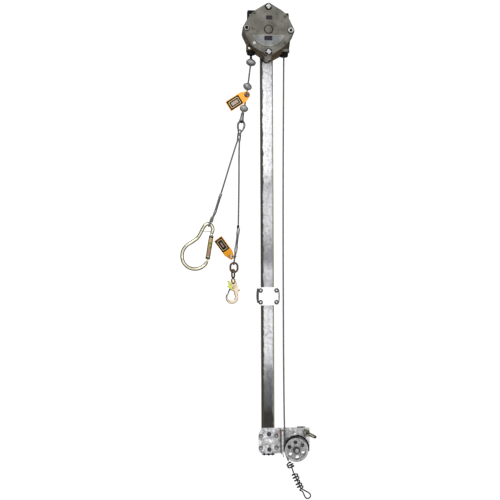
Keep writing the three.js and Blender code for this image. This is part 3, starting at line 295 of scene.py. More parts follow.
# near-black metal as painted shade on the wheel's rim and groove
GROOVE_SHADE = metal("wheel_groove_shade", (0.01, 0.01, 0.01), (0.05, 0.048, 0.045), 120, (0.4, 0.65), 0.5)
LINK_METAL = metal("link_metal", (0.06, 0.056, 0.04), (0.3, 0.28, 0.22), 110, (0.28, 0.5))
BALL_METAL = metal("ball_metal", (0.12, 0.12, 0.117), (0.42, 0.415, 0.405), 90, (0.35, 0.6), 0.5)
SLEEVE_METAL = metal("sleeve_metal", (0.05, 0.05, 0.05), (0.24, 0.235, 0.225), 110, (0.35, 0.6), 0.6)
GOLD = metal("gold_zinc", (0.5, 0.46, 0.32), (0.74, 0.7, 0.54), 70, (0.12, 0.26))
PEACH = metal("peach_zinc", (0.5, 0.36, 0.24), (0.78, 0.66, 0.5), 75, (0.14, 0.3))
# dark bronze, also used as painted shade on the lever's edges
BRONZE_AND_EDGE_SHADE = metal("bronze", (0.03, 0.016, 0.008), (0.16, 0.09, 0.045), 120, (0.22, 0.45))
LEVER = metal("lever", (0.36, 0.38, 0.03), (0.66, 0.68, 0.14), 140, (0.25, 0.45), 0.4)
BEARING = metal("bearing_bronze", (0.42, 0.33, 0.17), (0.62, 0.5, 0.28), 120)
IRON = metal("brake_iron", (0.12, 0.12, 0.115), (0.26, 0.26, 0.25), 120, (0.45, 0.7))
IRIDESCENT = iridescent("iridescent_zinc")
# dark and half-dark olive, painted as shade on the flanks of plated parts
OLIVE_SHADE = metal("olive_flank_shade", (0.022, 0.02, 0.009), (0.08, 0.074, 0.04), 70, (0.2, 0.4), 0.6)
OLIVE_HALF_SHADE = metal("olive_half_shade", (0.2, 0.185, 0.11), (0.36, 0.34, 0.22), 70, (0.16, 0.34), 0.8)
WIRE = rope_metal("wire_rope", (0.045, 0.045, 0.045), (0.18, 0.18, 0.182), 0.2)
TAIL_CORD = rope_metal("tail_cord", (0.004, 0.004, 0.003), (0.04, 0.038, 0.034), 0.1)
ORANGE = sheet_plastic("tag_orange", (0.72, 0.24, 0.003), (0.83, 0.37, 0.006))
TAG_BLACK = rubber("tag_panel", (0.006, 0.003, 0.002), (0.02, 0.01, 0.008))
TAG_PALE = sheet_plastic("tag_line", (0.62, 0.5, 0.25), (0.78, 0.68, 0.42))
TAG_MUTED = sheet_plastic("tag_patch", (0.3, 0.2, 0.15), (0.42, 0.3, 0.22))
GROMMET = metal("grommet", (0.05, 0.008, 0.006), (0.15, 0.035, 0.025), 200, metallic=0.5)
RUST = cast_metal("rust", (0.09, 0.035, 0.02), (0.18, 0.08, 0.045), (0.3, 0.17, 0.12), (0.08, 0.035, 0.025))
MAST_TONES = (
    (0.0, (0.03, 0.028, 0.022)),
    (0.1, (0.024, 0.021, 0.016)),
    (0.125, (0.085, 0.088, 0.088)),
    (0.175, (0.14, 0.145, 0.15)),
    (0.2, (0.28, 0.285, 0.29)),
    (0.225, (0.6, 0.61, 0.62)),
    (0.28, (0.84, 0.85, 0.85)),
    (0.36, (0.8, 0.81, 0.8)),
    (0.43, (0.5, 0.5, 0.51)),
    (0.452, (0.62, 0.62, 0.63)),
    (0.487, (0.25, 0.25, 0.27)),
    (0.51, (0.33, 0.33, 0.34)),
    (0.555, (0.6, 0.6, 0.61)),
    (0.64, (0.62, 0.62, 0.63)),
    (0.662, (0.46, 0.46, 0.47)),
    (0.69, (0.9, 0.9, 0.9)),
    (1.0, (0.92, 0.92, 0.92)),
)
MAST = galvanised("mast_zinc", (0.72, 0.71, 0.75), (1.0, 1.0, 1.0), (55, 55, 9), MAST_TONES, edges=True,
                  metallic=0.35)
# near-black zinc: painted shade on the mast's left side face, and also the dark strip on the wheel plate's
# top edge
NEAR_BLACK_ZINC_AND_SHADE = galvanised("near_black_zinc_and_side_shade", (0.012, 0.011, 0.006), (0.055, 0.055, 0.03), (90, 90, 6))
PLATE = galvanised("plate_zinc", (0.2, 0.2, 0.21), (0.9, 0.9, 0.9), (70, 70, 60))
CLAMP = sheet_plastic("clamp_zinc", (0.84, 0.84, 0.85), (0.93, 0.93, 0.93))
# dark zinc used as painted shade on the clamp channel's left side
CLAMP_SIDE_SHADE = galvanised("clamp_side_shade", (0.03, 0.03, 0.03), (0.16, 0.16, 0.155), (60, 60, 50))


# ---- Mesh tools: every builder works in millimetres and returns a bmesh ----
def merged(*parts):
    whole = bmesh.new()
    for part in parts:
        mesh = bpy.data.meshes.new("part")
        part.to_mesh(mesh)
        part.free()
        whole.from_mesh(mesh)
        bpy.data.meshes.remove(mesh)
    return whole


def moved(bm, *matrices):
    for matrix in matrices:
        bm.transform(matrix)
    return bm


def piece(name, bm, material, body, replaces=(), angle=38):
    """Turns a bmesh into a finished piece that rides on a body."""
    bmesh.ops.remove_doubles(bm, verts=bm.verts, dist=1e-4)
    bmesh.ops.scale(bm, vec=(MM, MM, MM), verts=bm.verts)
    bmesh.ops.recalc_face_normals(bm, faces=bm.faces)
    mesh = bpy.data.meshes.new(name)
    bm.to_mesh(mesh)
    bm.free()
    for polygon in mesh.polygons:
        polygon.use_smooth = True
    mesh.set_sharp_from_angle(angle=math.radians(angle))
    mesh.materials.append(material)
    obj = bpy.data.objects.new(name, mesh)
    SCENE.collection.objects.link(obj)
    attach(obj, body)
    if replaces:
        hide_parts(*replaces)
    return obj


def painted(obj, *rules):
    """More materials for some faces: a rule is a material and a test of a face's centre (mm) and normal."""
    for material, test in rules:
        obj.data.materials.append(material)
        for face in obj.data.polygons:
            if test(face.center / MM, face.normal):
                face.material_index = len(obj.data.materials) - 1
    return obj


def painted_flank_shade(obj):
    """Painted shade on plated metal: faces that look away from the front and the back get darker olive tones.
    """
    painted(obj, (OLIVE_HALF_SHADE, lambda at, out: abs(out.y) < 0.93), (OLIVE_SHADE, lambda at, out: abs(out.y) < 0.83))


def rectangle(x0, x1, z0, z1):
    return [(x0, z0), (x1, z0), (x1, z1), (x0, z1)]


def ellipse(x, z, across, high, sides):
    turn = [2 * math.pi * i / sides for i in range(sides)]
    return [(x + across * math.cos(t), z + high * math.sin(t)) for t in turn]


def circle(x, z, r, sides=40, start=0.0):
    turn = [start + 2 * math.pi * i / sides for i in range(sides)]
    return [(x + r * math.cos(t), z + r * math.sin(t)) for t in turn]


def arc(x, z, r, start, end, steps):
    turn = [start + (end - start) * i / steps for i in range(steps + 1)]
    return [(x + r * math.cos(t), z + r * math.sin(t)) for t in turn]


def rounded(points, r, steps=5):
    """A polygon with its corners rounded to radius r."""
    out = []
    count = len(points)
    for i in range(count):
        here = Vector(points[i])
        before = Vector(points[i - 1]) - here
        after = Vector(points[(i + 1) % count]) - here
        reach = min(r, 0.45 * before.length, 0.45 * after.length)
        first, last = here + before.normalized() * reach, here + after.normalized() * reach
        for k in range(steps + 1):
            t = k / steps
            out.append(tuple(first.lerp(here, t).lerp(here.lerp(last, t), t)))
    return out


def plate(outline, y0, y1, holes=(), bevel=0.6, flat=False):
    """An outline in X and Z with rounded edges, from y0 to y1. With flat it lies in X and Y instead."""
    curve = bpy.data.curves.new("outline", "CURVE")
    curve.dimensions = "2D"
    curve.fill_mode = "BOTH"
    curve.extrude = (y1 - y0) / 2 - bevel
    curve.bevel_depth = bevel
    curve.offset = -bevel
    curve.bevel_resolution = 2
    for loop in (outline, *holes):
        spline = curve.splines.new("POLY")
        spline.points.add(len(loop) - 1)
        for point, (x, z) in zip(spline.points, loop):
            point.co = (x, z, 0, 1)
        spline.use_cyclic_u = True
    obj = bpy.data.objects.new("outline", curve)
    SCENE.collection.objects.link(obj)
    bpy.context.view_layer.update()
    made = bpy.data.meshes.new_from_object(obj.evaluated_get(bpy.context.evaluated_depsgraph_get()))
    bm = bmesh.new()
    bm.from_mesh(made)
    bpy.data.meshes.remove(made)
    bpy.data.objects.remove(obj)
    bpy.data.curves.remove(curve)
    middle = (y0 + y1) / 2
    if flat:
        return moved(bm, Matrix.Translation((0, 0, middle)))
    return moved(bm, Matrix.Rotation(math.pi / 2, 4, "X"), Matrix.Translation((0, middle, 0)))


def turned(profile, at, axis=(0, 1, 0), sides=48, closed=True):
    """A profile of (radius, distance along the axis) turned about an axis through a point."""
    bm = bmesh.new()
    rings = []
    for i in range(sides):
        t = 2 * math.pi * i / sides
        rings.append([bm.verts.new((r * math.cos(t), r * math.sin(t), a)) for r, a in profile])
    count = len(profile)
    for i in range(sides):
        here, after = rings[i], rings[(i + 1) % sides]
        for k in range(count if closed else count - 1):
            n = (k + 1) % count
            loop = [here[k], here[n], after[n], after[k]]
            if profile[k][0] < 1e-6:
                loop = [here[k], here[n], after[n]]
            elif profile[n][0] < 1e-6:
                loop = [here[k], here[n], after[k]]
            if profile[k][0] > 1e-6 or profile[n][0] > 1e-6:
                bm.faces.new(loop)
    spin = UP.rotation_difference(Vector(axis)).to_matrix().to_4x4()
    return moved(bm, spin, Matrix.Translation(at))


def bar(start, end, r0, r1=None, sides=32, edge=0.5):
    """A round bar with rounded ends between two points."""
    start, end = Vector(start), Vector(end)
    r1 = r0 if r1 is None else r1
    length = (end - start).length
    edge = min(edge, 0.4 * length, 0.8 * r0, 0.8 * r1)
    turns = (0, 0.5, 1.05, 1.57)
    low = [(r0 - edge + edge * math.sin(t), edge - edge * math.cos(t)) for t in turns]
    high = [(r1 - edge + edge * math.sin(t), length - edge + edge * math.cos(t)) for t in turns[::-1]]
    profile = [(0, 0), *low, *high, (0, length)]
    return turned(profile, start, end - start, sides, closed=False)


def block(x0, x1, y0, y1, z0, z1, bevel=0.6):
    bm = bmesh.new()
    size = Matrix.Diagonal((x1 - x0, y1 - y0, z1 - z0, 1))
    middle = Matrix.Translation(((x0 + x1) / 2, (y0 + y1) / 2, (z0 + z1) / 2))
    bmesh.ops.create_cube(bm, size=1, matrix=middle @ size)
    bmesh.ops.bevel(bm, geom=bm.edges[:], offset=bevel, segments=2, affect="EDGES", profile=0.5)
    return bm


def smooth_route(points, per=8):
    """A centripetal Catmull-Rom curve through the points."""
    p = [Vector(q) for q in points]
    p = [2 * p[0] - p[1], *p, 2 * p[-1] - p[-2]]
    out = []
    for i in range(1, len(p) - 2):
        four = p[i - 1 : i + 3]
        t = [0.0]
        for a, b in zip(four, four[1:]):
            t.append(t[-1] + max((b - a).length, 1e-6) ** 0.5)
        for k in range(per):
            u = t[1] + (t[2] - t[1]) * k / per
            level = four
            for width in (1, 2, 3):
                spans = [knot_pair(t, j, width) for j in range(len(level) - 1)]
                level = [a.lerp(b, (u - lo) / (hi - lo)) for a, b, (lo, hi) in zip(level, level[1:], spans)]
            out.append(level[0])
    out.append(p[-2])
    return out


def knot_pair(t, j, width):
    return (t[1], t[2]) if width == 3 else (t[j], t[j + width])


def even_route(points, step):
    """The same line resampled at an even spacing."""
    out = [points[0]]
    need = step
    for a, b in zip(points, points[1:]):
        span = (b - a).length
        while span >= need and span > 0:
            a = a.lerp(b, need / span)
            out.append(a)
            span = (b - a).length
            need = step
        need -= span
    if (points[-1] - out[-1]).length < 0.5 * step:
        out.pop()
    out.append(points[-1])
    return out


def tube(line, radius, sides=20, closed=False, shape=None, twist=0.0):
    """A round rod, or one with a section of its own, swept along a dense line."""
    bm = bmesh.new()
    count = len(line)

    def reach(i):
        if closed or 0 < i < count - 1:
            return line[(i + 1) % count] - line[i - 1]
        return line[1] - line[0] if i == 0 else line[-1] - line[-2]

    tangent = reach(0).normalized()
    side = tangent.cross(Vector((0.31, 0.85, 0.43))).normalized()
    rings = []
    run = 0.0
    for i in range(count):
        after = reach(i).normalized()
        side = tangent.rotation_difference(after) @ side
        tangent = after
        up = tangent.cross(side)
        if i:
            run += (line[i] - line[i - 1]).length
        r = radius(i / (count - 1)) if callable(radius) else radius
        ring = []
        for k in range(sides):
            phi = 2 * math.pi * k / sides
            size = r * (shape(phi) if shape else 1.0)
            turn = phi + twist * run
            ring.append(bm.verts.new(line[i] + size * (side * math.cos(turn) + up * math.sin(turn))))
        rings.append(ring)
    pairs = list(zip(rings, rings[1:])) + ([(rings[-1], rings[0])] if closed else [])
    for here, after in pairs:
        for k in range(sides):
            n = (k + 1) % sides
            bm.faces.new((here[k], here[n], after[n], after[k]))
    if not closed:
        bm.faces.new(rings[0])
        bm.faces.new(rings[-1][::-1])
    return bm


def laid_rope(route, radius=DRAWN_ROPE_R, strands=6, lay=30.0, step=3.0, per=8):
    """A wire rope: round strands laid in a helix. Returns the mesh and its centreline."""
    line = even_route(smooth_route(route, per), step)
    shape = lambda phi: 0.86 + 0.18 * abs(math.cos(strands * phi / 2)) ** 0.8
    return tube(line, radius, strands * 4, shape=shape, twist=2 * math.pi / lay), line


def hexagon(x, z, r, start=0.0):
    return circle(x, z, r, 6, start)


def nut(x, z, seat, height, r, start=0.26, washer=0.0, back=False):
    """A chamfered hexagon nut or head on a face at y = seat, standing towards the front."""
    sign = 1 if back else -1
    y0, y1 = sorted((seat, seat + sign * height))
    cap = plate(hexagon(x, z, r, start), y0, y1, bevel=min(0.7, 0.2 * height))
    parts = [cap]
    if washer:
        w0, w1 = sorted((seat, seat + sign * 1.2))
        parts.append(plate(circle(x, z, washer), w0, w1, bevel=0.3))
    return parts


def ring_profile(inner, outer, y0, y1, edge=0.6):
    return [(inner, y0 + edge), (inner + edge, y0), (outer - edge, y0), (outer, y0 + edge),
            (outer, y1 - edge), (outer - edge, y1), (inner + edge, y1), (inner, y1 - edge)]


def oval_line(centre, along, across, reach, end):
    """The centreline of a link: two half circles of radius end, reach apart."""
    u, v = Vector(along).normalized(), Vector(across).normalized()
    line = []
    for side in (1, -1):
        for i in range(17):
            turn = (-90 if side > 0 else 90) * math.pi / 180 + i / 16 * math.pi
            point = Vector(centre) + u * (side * reach / 2 + end * math.cos(turn))
            line.append(point + v * (end * math.sin(turn)))
    return line


# ---- Ropes ----
def flat(points):
    return [(p[0], ROPE_Y, p[1]) if len(p) == 2 else p for p in points]


def main_route():
    route = [(-SHEAVE_R, 966), (-SHEAVE_R, 1000)]
    for turn in range(180, -1, -12):
        t = math.radians(turn)
        route.append((SHEAVE_R * math.cos(t), HEAD_Z + SHEAVE_R * math.sin(t)))
    route += [(65, 1000), (65, 955), (64.4, 900), (61.5, 600), (59.6, 300), (59, 0)]
    route += [(59.2, -250), (60.4, -450), (62.2, -560), (62.6, -590)]
    for turn in (180, 187, 194, 201):
        t = math.radians(turn)
        route.append((WHEEL.x + WHEEL_ROPE_R * math.cos(t), WHEEL.z + WHEEL_ROPE_R * math.sin(t)))
    return flat(route + [(70.8, -635.3), (76.5, -650.2)])


LEFT_ROUTE = flat([
    (-65, 965.6), (-65, 957), (-65.1, 941), (-65.9, 923), (-69, 903), (-72.6, 876), (-75.6, 852),
    (-79.4, 832), (-81.3, 815), (-82.3, 799), (-85.6, 781), (-89.6, 763), (-93.4, 747), (-97, 735),
    (-99.6, 720),
])
LANYARD_ROUTE = flat([
    (-185.4, 410), (-170.5, 458), (-154.6, 510), (-137.6, 564), (-124, 606), (-118.3, 622),
    (-119, 632), (-116.6, 642), (-115.8, 650), (-116.6, 662), (-118, 677), (-114.5, 689),
    (-104.8, 695), (-95.2, 690), (-92.2, 678), (-98, 662), (-106.4, 651), (-109.3, 642),
    (-108.6, 632), (-111.2, 622), (-112.5, 607), (-114, 560), (-114.5, 510), (-114.9, 460),
    (-115.8, 400), (-116.8, 345), (-118.1, 285.6),
])


TAIL_FROM = Vector((81, ROPE_Y, -662))
TAIL_ALONG = Vector((44, 0, -98)).normalized()
TAIL_R = 2.75
HAND_LOOP = flat([
    (133, -765), (146, -772.5), (157, -779), (163.4, -786.5), (163, -795), (156.5, -800.8),
    (148.5, -801), (142.5, -795.5), (138.3, -787), (134.8, -778),
])


def tail_place(along, across, depth):
    """A point measured along, across and behind the tail's own line."""
    side = Vector((-TAIL_ALONG.z, 0, TAIL_ALONG.x))
    return TAIL_FROM + TAIL_ALONG * along + side * across + Vector((0, depth, 0))


def tail_turn(along, r, sixth):
    angle = sixth * math.pi / 3
    return tail_place(along, r * math.sin(angle), -r * math.cos(angle))


def tail_route():
    """A coiled knot, a straight core, a hand loop, and wraps back up round the core."""
    route = [tail_place(-8.5, 0, 0)]
    route += [tail_turn(-5 + 1.5 * i, min(12, 4 * i), i) for i in range(1, 16)]
    route += [tail_place(26, 1, 9), tail_place(35, 0, 3)]
    route += [tail_place(along, 0, 0) for along in range(46, 107, 15)]
    route += [Vector(p) for p in HAND_LOOP]
    route += [tail_place(118, -1, -4), tail_place(112, -6.5, -6)]
    route += [tail_turn(108 - 2 * i, 11, i) for i in range(13)]
    route += [tail_turn(84 - 3 * (i - 12), 8, i) for i in range(13, 17)]
    route += [tail_turn(72 - 2 * (i - 16), 11.5, i) for i in range(17, 29)]
    return route


def ropes():
    """The four free ropes, and what is threaded on them."""
    bm, line = laid_rope(main_route())
    main = piece("main_wire_rope", bm, WIRE, "frame", ["main_rope"], 70)
    bm, line = laid_rope(tail_route(), TAIL_R, 4, 16.0, 2.0, 5)
    tail = piece("tail_cord", bm, TAIL_CORD, "frame", ["tail_rope"], 70)
    tail_whipping(line)
    bm, line = laid_rope(LEFT_ROUTE)
    left = piece("left_wire_rope", bm, WIRE, "frame", ["left_rope"], 70)
    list(stop_balls())
    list(eye_sleeve())
    bm, line = laid_rope(LANYARD_ROUTE)
    lanyard = piece("lanyard_wire_rope", bm, WIRE, "frame", ["lanyard_rope"], 70)
    crimps = [lanyard_crimp("crimp_upper", -113, 642, "lanyard_crimp_upper"),
              lanyard_crimp("crimp_lower", -114.8, 622, "lanyard_crimp_lower")]
    bight = smooth_route(LANYARD_ROUTE[8:17], 8)
    groove = lambda phi: 1 - 0.1 * abs(math.sin(2 * phi))
    taper = lambda s: 2.9 + 1.7 * min(1.0, 5 * s, 5 * (1 - s))
    seizing = block(-116.5, -105.5, ROPE_Y - 3.8, ROPE_Y + 3.8, 658.8, 662.4, 1.0)
    thimble = merged(tube(bight, taper, 20, shape=groove), seizing)
    crimps.append(piece("bight_thimble", thimble, SLEEVE_METAL, "frame"))
    for index, (x, z) in enumerate(((-111.2, 652.2), (-113.9, 631.8)), 1):
        eyelet = turned(circle(6.2, 0, 1.7, 10), (x, ROPE_Y - 2.6, z), sides=32)
        crimps.append(piece(f"eyelet_{index}", eyelet, DARK_ZINC, "frame"))


def tail_whipping(line):
    """Twine bound round the tail's end."""
    end, away = line[-1], (line[-1] - line[-4]).normalized()
    rings = [bar(end - away * (7 - k), end - away * (6.1 - k), 3.4, 3.4, 20, 0.4) for k in range(7)]
    cap = bar(end - away * 7, end + away * 1.2, 2.9, 2.5, 20, 0.8)
    return piece("tail_end", merged(cap, *rings), BLACK_RUBBER_AND_SHADE, "frame")


def stop_balls():
    """Flattened swaged balls with a parting line and a collar at each end."""
    made = []
    sizes = ((-65.4, 927, 19.7, 13.5, 12), (-79.4, 832, 17.8, 13.5, 24), (-93.8, 745, 17.2, 13.5, 14))
    for index, (x, z, across, along, tilt) in enumerate(sizes, 1):
        profile = [(3.0, -along - 0.6), (6.2, -along - 0.6), (7.0, -along + 0.6)]
        for i in range(1, 16):
            t = -math.pi / 2 + math.pi * i / 16
            seam = 0.55 * math.exp(-((i - 8) / 0.55) ** 2)
            r = across * math.cos(t) ** 0.9 + seam
            if r > 7:
                profile.append((min(r, across + 0.5), along * math.sin(t)))
        profile += [(7.0, along - 0.6), (6.2, along + 0.6), (3.0, along + 0.6)]
        lean = math.radians(tilt)
        axis = (math.sin(lean), 0, math.cos(lean))
        ball = turned(profile, (x, ROPE_Y, z), axis, 48)
        name = f"stop_ball_{index}"
        made.append(piece(f"ball_{index}", ball, BALL_METAL, "frame", [name], 50))
    boot = bar((-65, ROPE_Y, 956), (-65.3, ROPE_Y, 940.5), 4.4, 5.2, 28, 1.0)
    made.append(piece("ball_boot", boot, BLACK_RUBBER_AND_SHADE, "frame"))
    return made


def eye_sleeve():
    """A swaged eye terminal: a waisted barrel and a round end, with a black plate in the eye as painted
    shade.
    """
    top, end = Vector((-98.3, ROPE_Y, 728.5)), Vector((-104, ROPE_Y, 696))
    length = (top - end).length
    profile = [(0, -9.4)]
    for i in range(1, 9):
        t = -math.pi / 2 + math.pi / 2 * i / 8
        profile.append((9.4 * math.cos(t), 9.4 * math.sin(t)))
    profile += [(8.6, 6), (7.2, 10), (6.8, 13), (7.4, 14), (7.4, 16), (6.7, 17), (6.5, 22), (7.1, 23)]
    profile += [(7.1, 25), (6.4, 26), (6.2, length - 1), (5.4, length), (3, length), (0, length)]
    sleeve = piece("sleeve", turned(profile, end, top - end, 36, False), SLEEVE_METAL, "frame",
                   ["eye_sleeve"])
    # a black plate in the eye as painted shade
    eye = plate(ellipse(-104.6, 693, 6.2, 3.9, 32), ROPE_Y - 10.2, ROPE_Y + 10.2, bevel=0.8)
    return sleeve, piece("sleeve_eye_shade", eye, BLACK_RUBBER_AND_SHADE, "frame")


def lanyard_crimp(name, x, z, node):
    """A double-barrel crimp with three pressed bands."""
    half = [(0, -4), (3.8, -4), (4.6, -3.4), (4.6, -2.2), (4.1, -1.7), (4.1, -1.1), (4.6, -0.6)]
    profile = [*half, *[(r, -a) for r, a in half[::-1]]]
    barrels = [turned(profile, (x + side, ROPE_Y, z), (0, 0, 1), 28, False) for side in (-3.8, 3.8)]
    web = block(x - 3.8, x + 3.8, ROPE_Y - 4.1, ROPE_Y + 4.1, z - 3.8, z + 3.8, 0.8)
    return piece(name, merged(*barrels, web), SLEEVE_METAL, "frame", [node])


# ---- Head ----
def head_outline(grow=0.0):
    points = []
    for i, (angle, out) in enumerate(LOBES):
        after, out_after = LOBES[(i + 1) % 4]
        after += 360 if i == 3 else 0
        angle, after = math.radians(angle), math.radians(after)
        flank, flank_after = math.acos((HEAD_R - LOBE_R) / out), math.acos((HEAD_R - LOBE_R) / out_after)
        x, z = out * math.cos(angle), HEAD_Z + out * math.sin(angle)
        points += arc(x, z, LOBE_R + grow, angle - flank, angle + flank, 10)
        points += arc(0, HEAD_Z, HEAD_R + grow, angle + flank, after - flank_after, 10)[1:-1]
    return points


def lobe_centres():
    return [(out * math.cos(math.radians(a)), HEAD_Z + out * math.sin(math.radians(a))) for a, out in LOBES]


def half_moon(r, top):
    half = math.asin(top / r)
    return arc(0, HEAD_Z, r, math.pi - half, 2 * math.pi + half, 40)


def cover():
    """The front cover: a stepped face with recessed bolt seats, a ringed boss and a half-moon panel."""
    seats = [circle(x, z, 13.6, 40) for x, z in lobe_centres()]
    back = plate(head_outline(), -167.4, -136.1, bevel=1.6)
    face = plate(head_outline(-1.6), -170, -166.5, [circle(0, HEAD_Z, 17.4, 64), *seats], bevel=1.0)
    boss = plate(circle(0, HEAD_Z, 14.5, 64), -170.2, -166.5, bevel=0.9)
    skin = piece("cover", merged(back, face, boss), CAST, "frame", ["front_cover"])
    # the cover's side faces get the darker casting as painted shade
    painted(skin, (CAST_SIDE_SHADE, lambda at, out: abs(out.y) < 0.5),
            (CAST_RUST, lambda at, out: abs(out.y) < 0.5 and at.z < 978 and abs(at.x) < 62),
            # faces round the cone tip get a light grey as painted light
            (CAST_TIP_LIT, lambda at, out: abs(out.y) < 0.5 and at.z < 945 and abs(at.x) < 12))
    # black floors in the boss groove and the bolt seats as painted shade
    groove = plate(circle(0, HEAD_Z, 17.3, 64), -167.9, -167.0, [circle(0, HEAD_Z, 14.6, 64)], bevel=0.2)
    floors = [plate(circle(x, z, 13.5, 40), -167.9, -167.0, bevel=0.2) for x, z in lobe_centres()]
    piece("cover_recess_shade", merged(groove, *floors), BLACK_RUBBER_AND_SHADE, "frame")
    rim = plate(half_moon(66, -22.5), -172, -169.5, [half_moon(63.2, -25.2)], bevel=0.9)
    piece("panel_rim", rim, CAST_RIM_AND_HIGHLIGHT, "frame")
    floor = plate(half_moon(63.4, -25), -170.5, -169.2, bevel=0.2)
    piece("panel_floor", floor, CAST_LIGHT, "frame")
    blanks = [plate(rounded(rectangle(-17, 14, 997, 1016), 2), -171.4, -170.1, bevel=0.4),
              plate(rounded(rectangle(-10, 14, 1078, 1093), 2), -170.9, -169.6, bevel=0.4)]
    piece("blank_plates", merged(*blanks), DARK_PLATE, "frame")
    ribs = []
    for x, z, bright in ((-54.8, 1104, 0), (64.3, 1089.6, 0), (63.1, 987, 0), (-56.1, 986.7, 1)):
        ribs.append(plate(circle(x, z, 5.2, 32), -171.6, -169.6, [circle(x, z, 1.9, 6)], bevel=0.5))
    bright = ribs.pop()
    piece("cover_screws", merged(*ribs), CAST_SIDE_SHADE, "frame")
    piece("cover_screw_bright", bright, BRIGHT, "frame")


def cover_bolts():
    names = ("cover_bolt_right", "cover_bolt_top", "cover_bolt_left", "cover_bolt_bottom")
    for i, ((x, z), name) in enumerate(zip(lobe_centres(), names)):
        if i % 2 == 0:
            inner = 7.0 if i else 5.6
            profile = [(inner, -172), (inner, -177), (8.6, -177), (10, -176.2), (10.5, -174.8), (10.5, -168)]
            collar = turned([*profile, (inner, -168)], (x, 0, z))
            piece(f"{name}_head", collar, BALL_METAL if i else ZINC, "frame", [name])
            # a black disc deep in the bolt head's socket as painted shade
            socket = plate(circle(x, z, inner + 0.4, 40), -172.4, -168.5, bevel=0.2)
            piece(f"{name}_socket", socket, BLACK_RUBBER_AND_SHADE, "frame")
            continue
        turn = 0.0 if i == 1 else 0.05
        square = plate(rounded(circle(x, z, 11.4, 4, turn), 1.4), -176, -167.6, bevel=1.1)
        centre = plate(circle(x, z, 4.0, 24), -176.5, -175.2, bevel=0.4)
        piece(f"{name}_head", merged(square, centre), ZINC, "frame", [name])


def housing():
    """The rear casting: a deep body with a drip boss, an apron, ears and the two rope ports."""
    # the housing's body gets the darker casting as painted shade
    body = refined("housing", "rear_housing", CAST_SIDE_SHADE)
    low = lambda at: at.z < 984 and abs(at.x) < 62
    # faces of the drip cone get a light grey as painted light
    cone = lambda at: math.hypot(at.x, at.z - 951) < 17.6 and at.z < 968
    # the ears past the rim are painted black as painted shade
    ear = lambda at: at.z > 1078 and abs(at.x) > 44 and math.hypot(at.x, at.z - HEAD_Z) > 87.5
    painted(body, (CAST_RUST, lambda at, out: low(at)), (CAST_TIP_LIT, lambda at, out: cone(at)),
            (BLACK_RUBBER_AND_SHADE, lambda at, out: ear(at)))
    # a light disc on the cone's front as painted light
    rim = plate(circle(0, 951, 16.4, 56), -134.6, -133.2, bevel=0.4)
    piece("cone_face_lit", rim, CAST_TIP_LIT, "frame")
    # a bright ring round the right rope port as painted highlight
    collar = turned(ring_profile(17, 19.9, -5, 5), (68, ROPE_Y, 972.8), (0, 0, 1), 56)
    piece("port_highlight_ring", collar, CAST_RIM_AND_HIGHLIGHT, "frame")
    span = (math.radians(198), math.radians(342))
    line = plate(arc(0, 951, 19.6, *span, 24) + arc(0, 951, 16.4, *span[::-1], 24), -67, -63, bevel=0.3)
    piece("cone_shadow", line, BLACK_RUBBER_AND_SHADE, "frame")


def bumper(name, x, top, height, node):
    """A moulded rubber bumper with ribs round it and a bore for the rope."""
    profile = [(4, 0), (12, 0), (14.6, 0.8), (16, 2.4), (16.8, 4.6)]
    for rib in (6.2, 9.0, 11.8):
        profile += [(17, rib - 0.6), (16.3, rib + 0.2), (16.3, rib + 0.9), (17, rib + 1.6)]
    profile += [(17, height - 2.2), (16, height - 0.5), (14.5, height), (4, height)]
    bm = turned(profile, (x, ROPE_Y, top - height), (0, 0, 1), 56)
    piece(name, bm, BLACK_RUBBER_AND_SHADE, "frame", [node])


def head_mounting():
    holes = [circle(0, HEAD_Z + s * 35, 6.3, 32) for s in (1, -1)]
    backing = plate(rounded(rectangle(-45, 45, 968, 1112), 8), *MAST_PLATE, holes, 0.8)
    piece("head_backing_plate", backing, PLATE, "frame", ["head_plate"])
    for name, z in (("head_bolt_upper", 1075), ("head_bolt_lower", 1005)):
        parts = [bar((0, -79, z), (0, -0.7, z), 6, 6, 28, 1.0)]
        parts += nut(0, z, -73, 7.5, 10)
        parts += nut(0, z, -8, 7, 10.5, back=True)
        piece(f"{name}_set", merged(*parts), ZINC, "frame", [name])


# ---- Mast, clamp and lower bracket ----
def mast():
    half, inner = 25.4, 22.2
    corners = lambda h: rectangle(-h, h, -h, h)
    lift = lambda loop: [(x, y - 33.7) for x, y in loop]
    outer = lift(rounded(corners(half), 6, 8))
    wall = plate(outer, -636, 1100, [lift(rounded(corners(inner), 3, 5))], 0.4, flat=True)
    skin = piece("mast", wall, MAST, "frame", ["mast_tube"], 30)
    # the mast's left side face gets a near-black painted shade
    painted(skin, (NEAR_BLACK_ZINC_AND_SHADE, lambda at, out: out.x < -0.6 and at.x < -24))


def refined(name, node, material):
    """A CAD node's own shape with its edges rounded."""
    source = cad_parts[node]
    bm = bmesh.new()
    bm.from_mesh(source.data)
    bmesh.ops.scale(bm, vec=(1 / MM,) * 3, verts=bm.verts)
    bmesh.ops.remove_doubles(bm, verts=bm.verts, dist=1e-3)
    bmesh.ops.dissolve_limit(bm, angle_limit=math.radians(1), verts=bm.verts, edges=bm.edges)
    sharp = [e for e in bm.edges if len(e.link_faces) == 2 and e.calc_face_angle(0) > math.radians(30)]
    bmesh.ops.bevel(bm, geom=sharp, offset=0.7, segments=2, affect="EDGES", profile=0.5, clamp_overlap=True)
    bmesh.ops.triangulate(bm, faces=[f for f in bm.faces if len(f.verts) > 4])
    return piece(name, bm, material, "frame", [node])


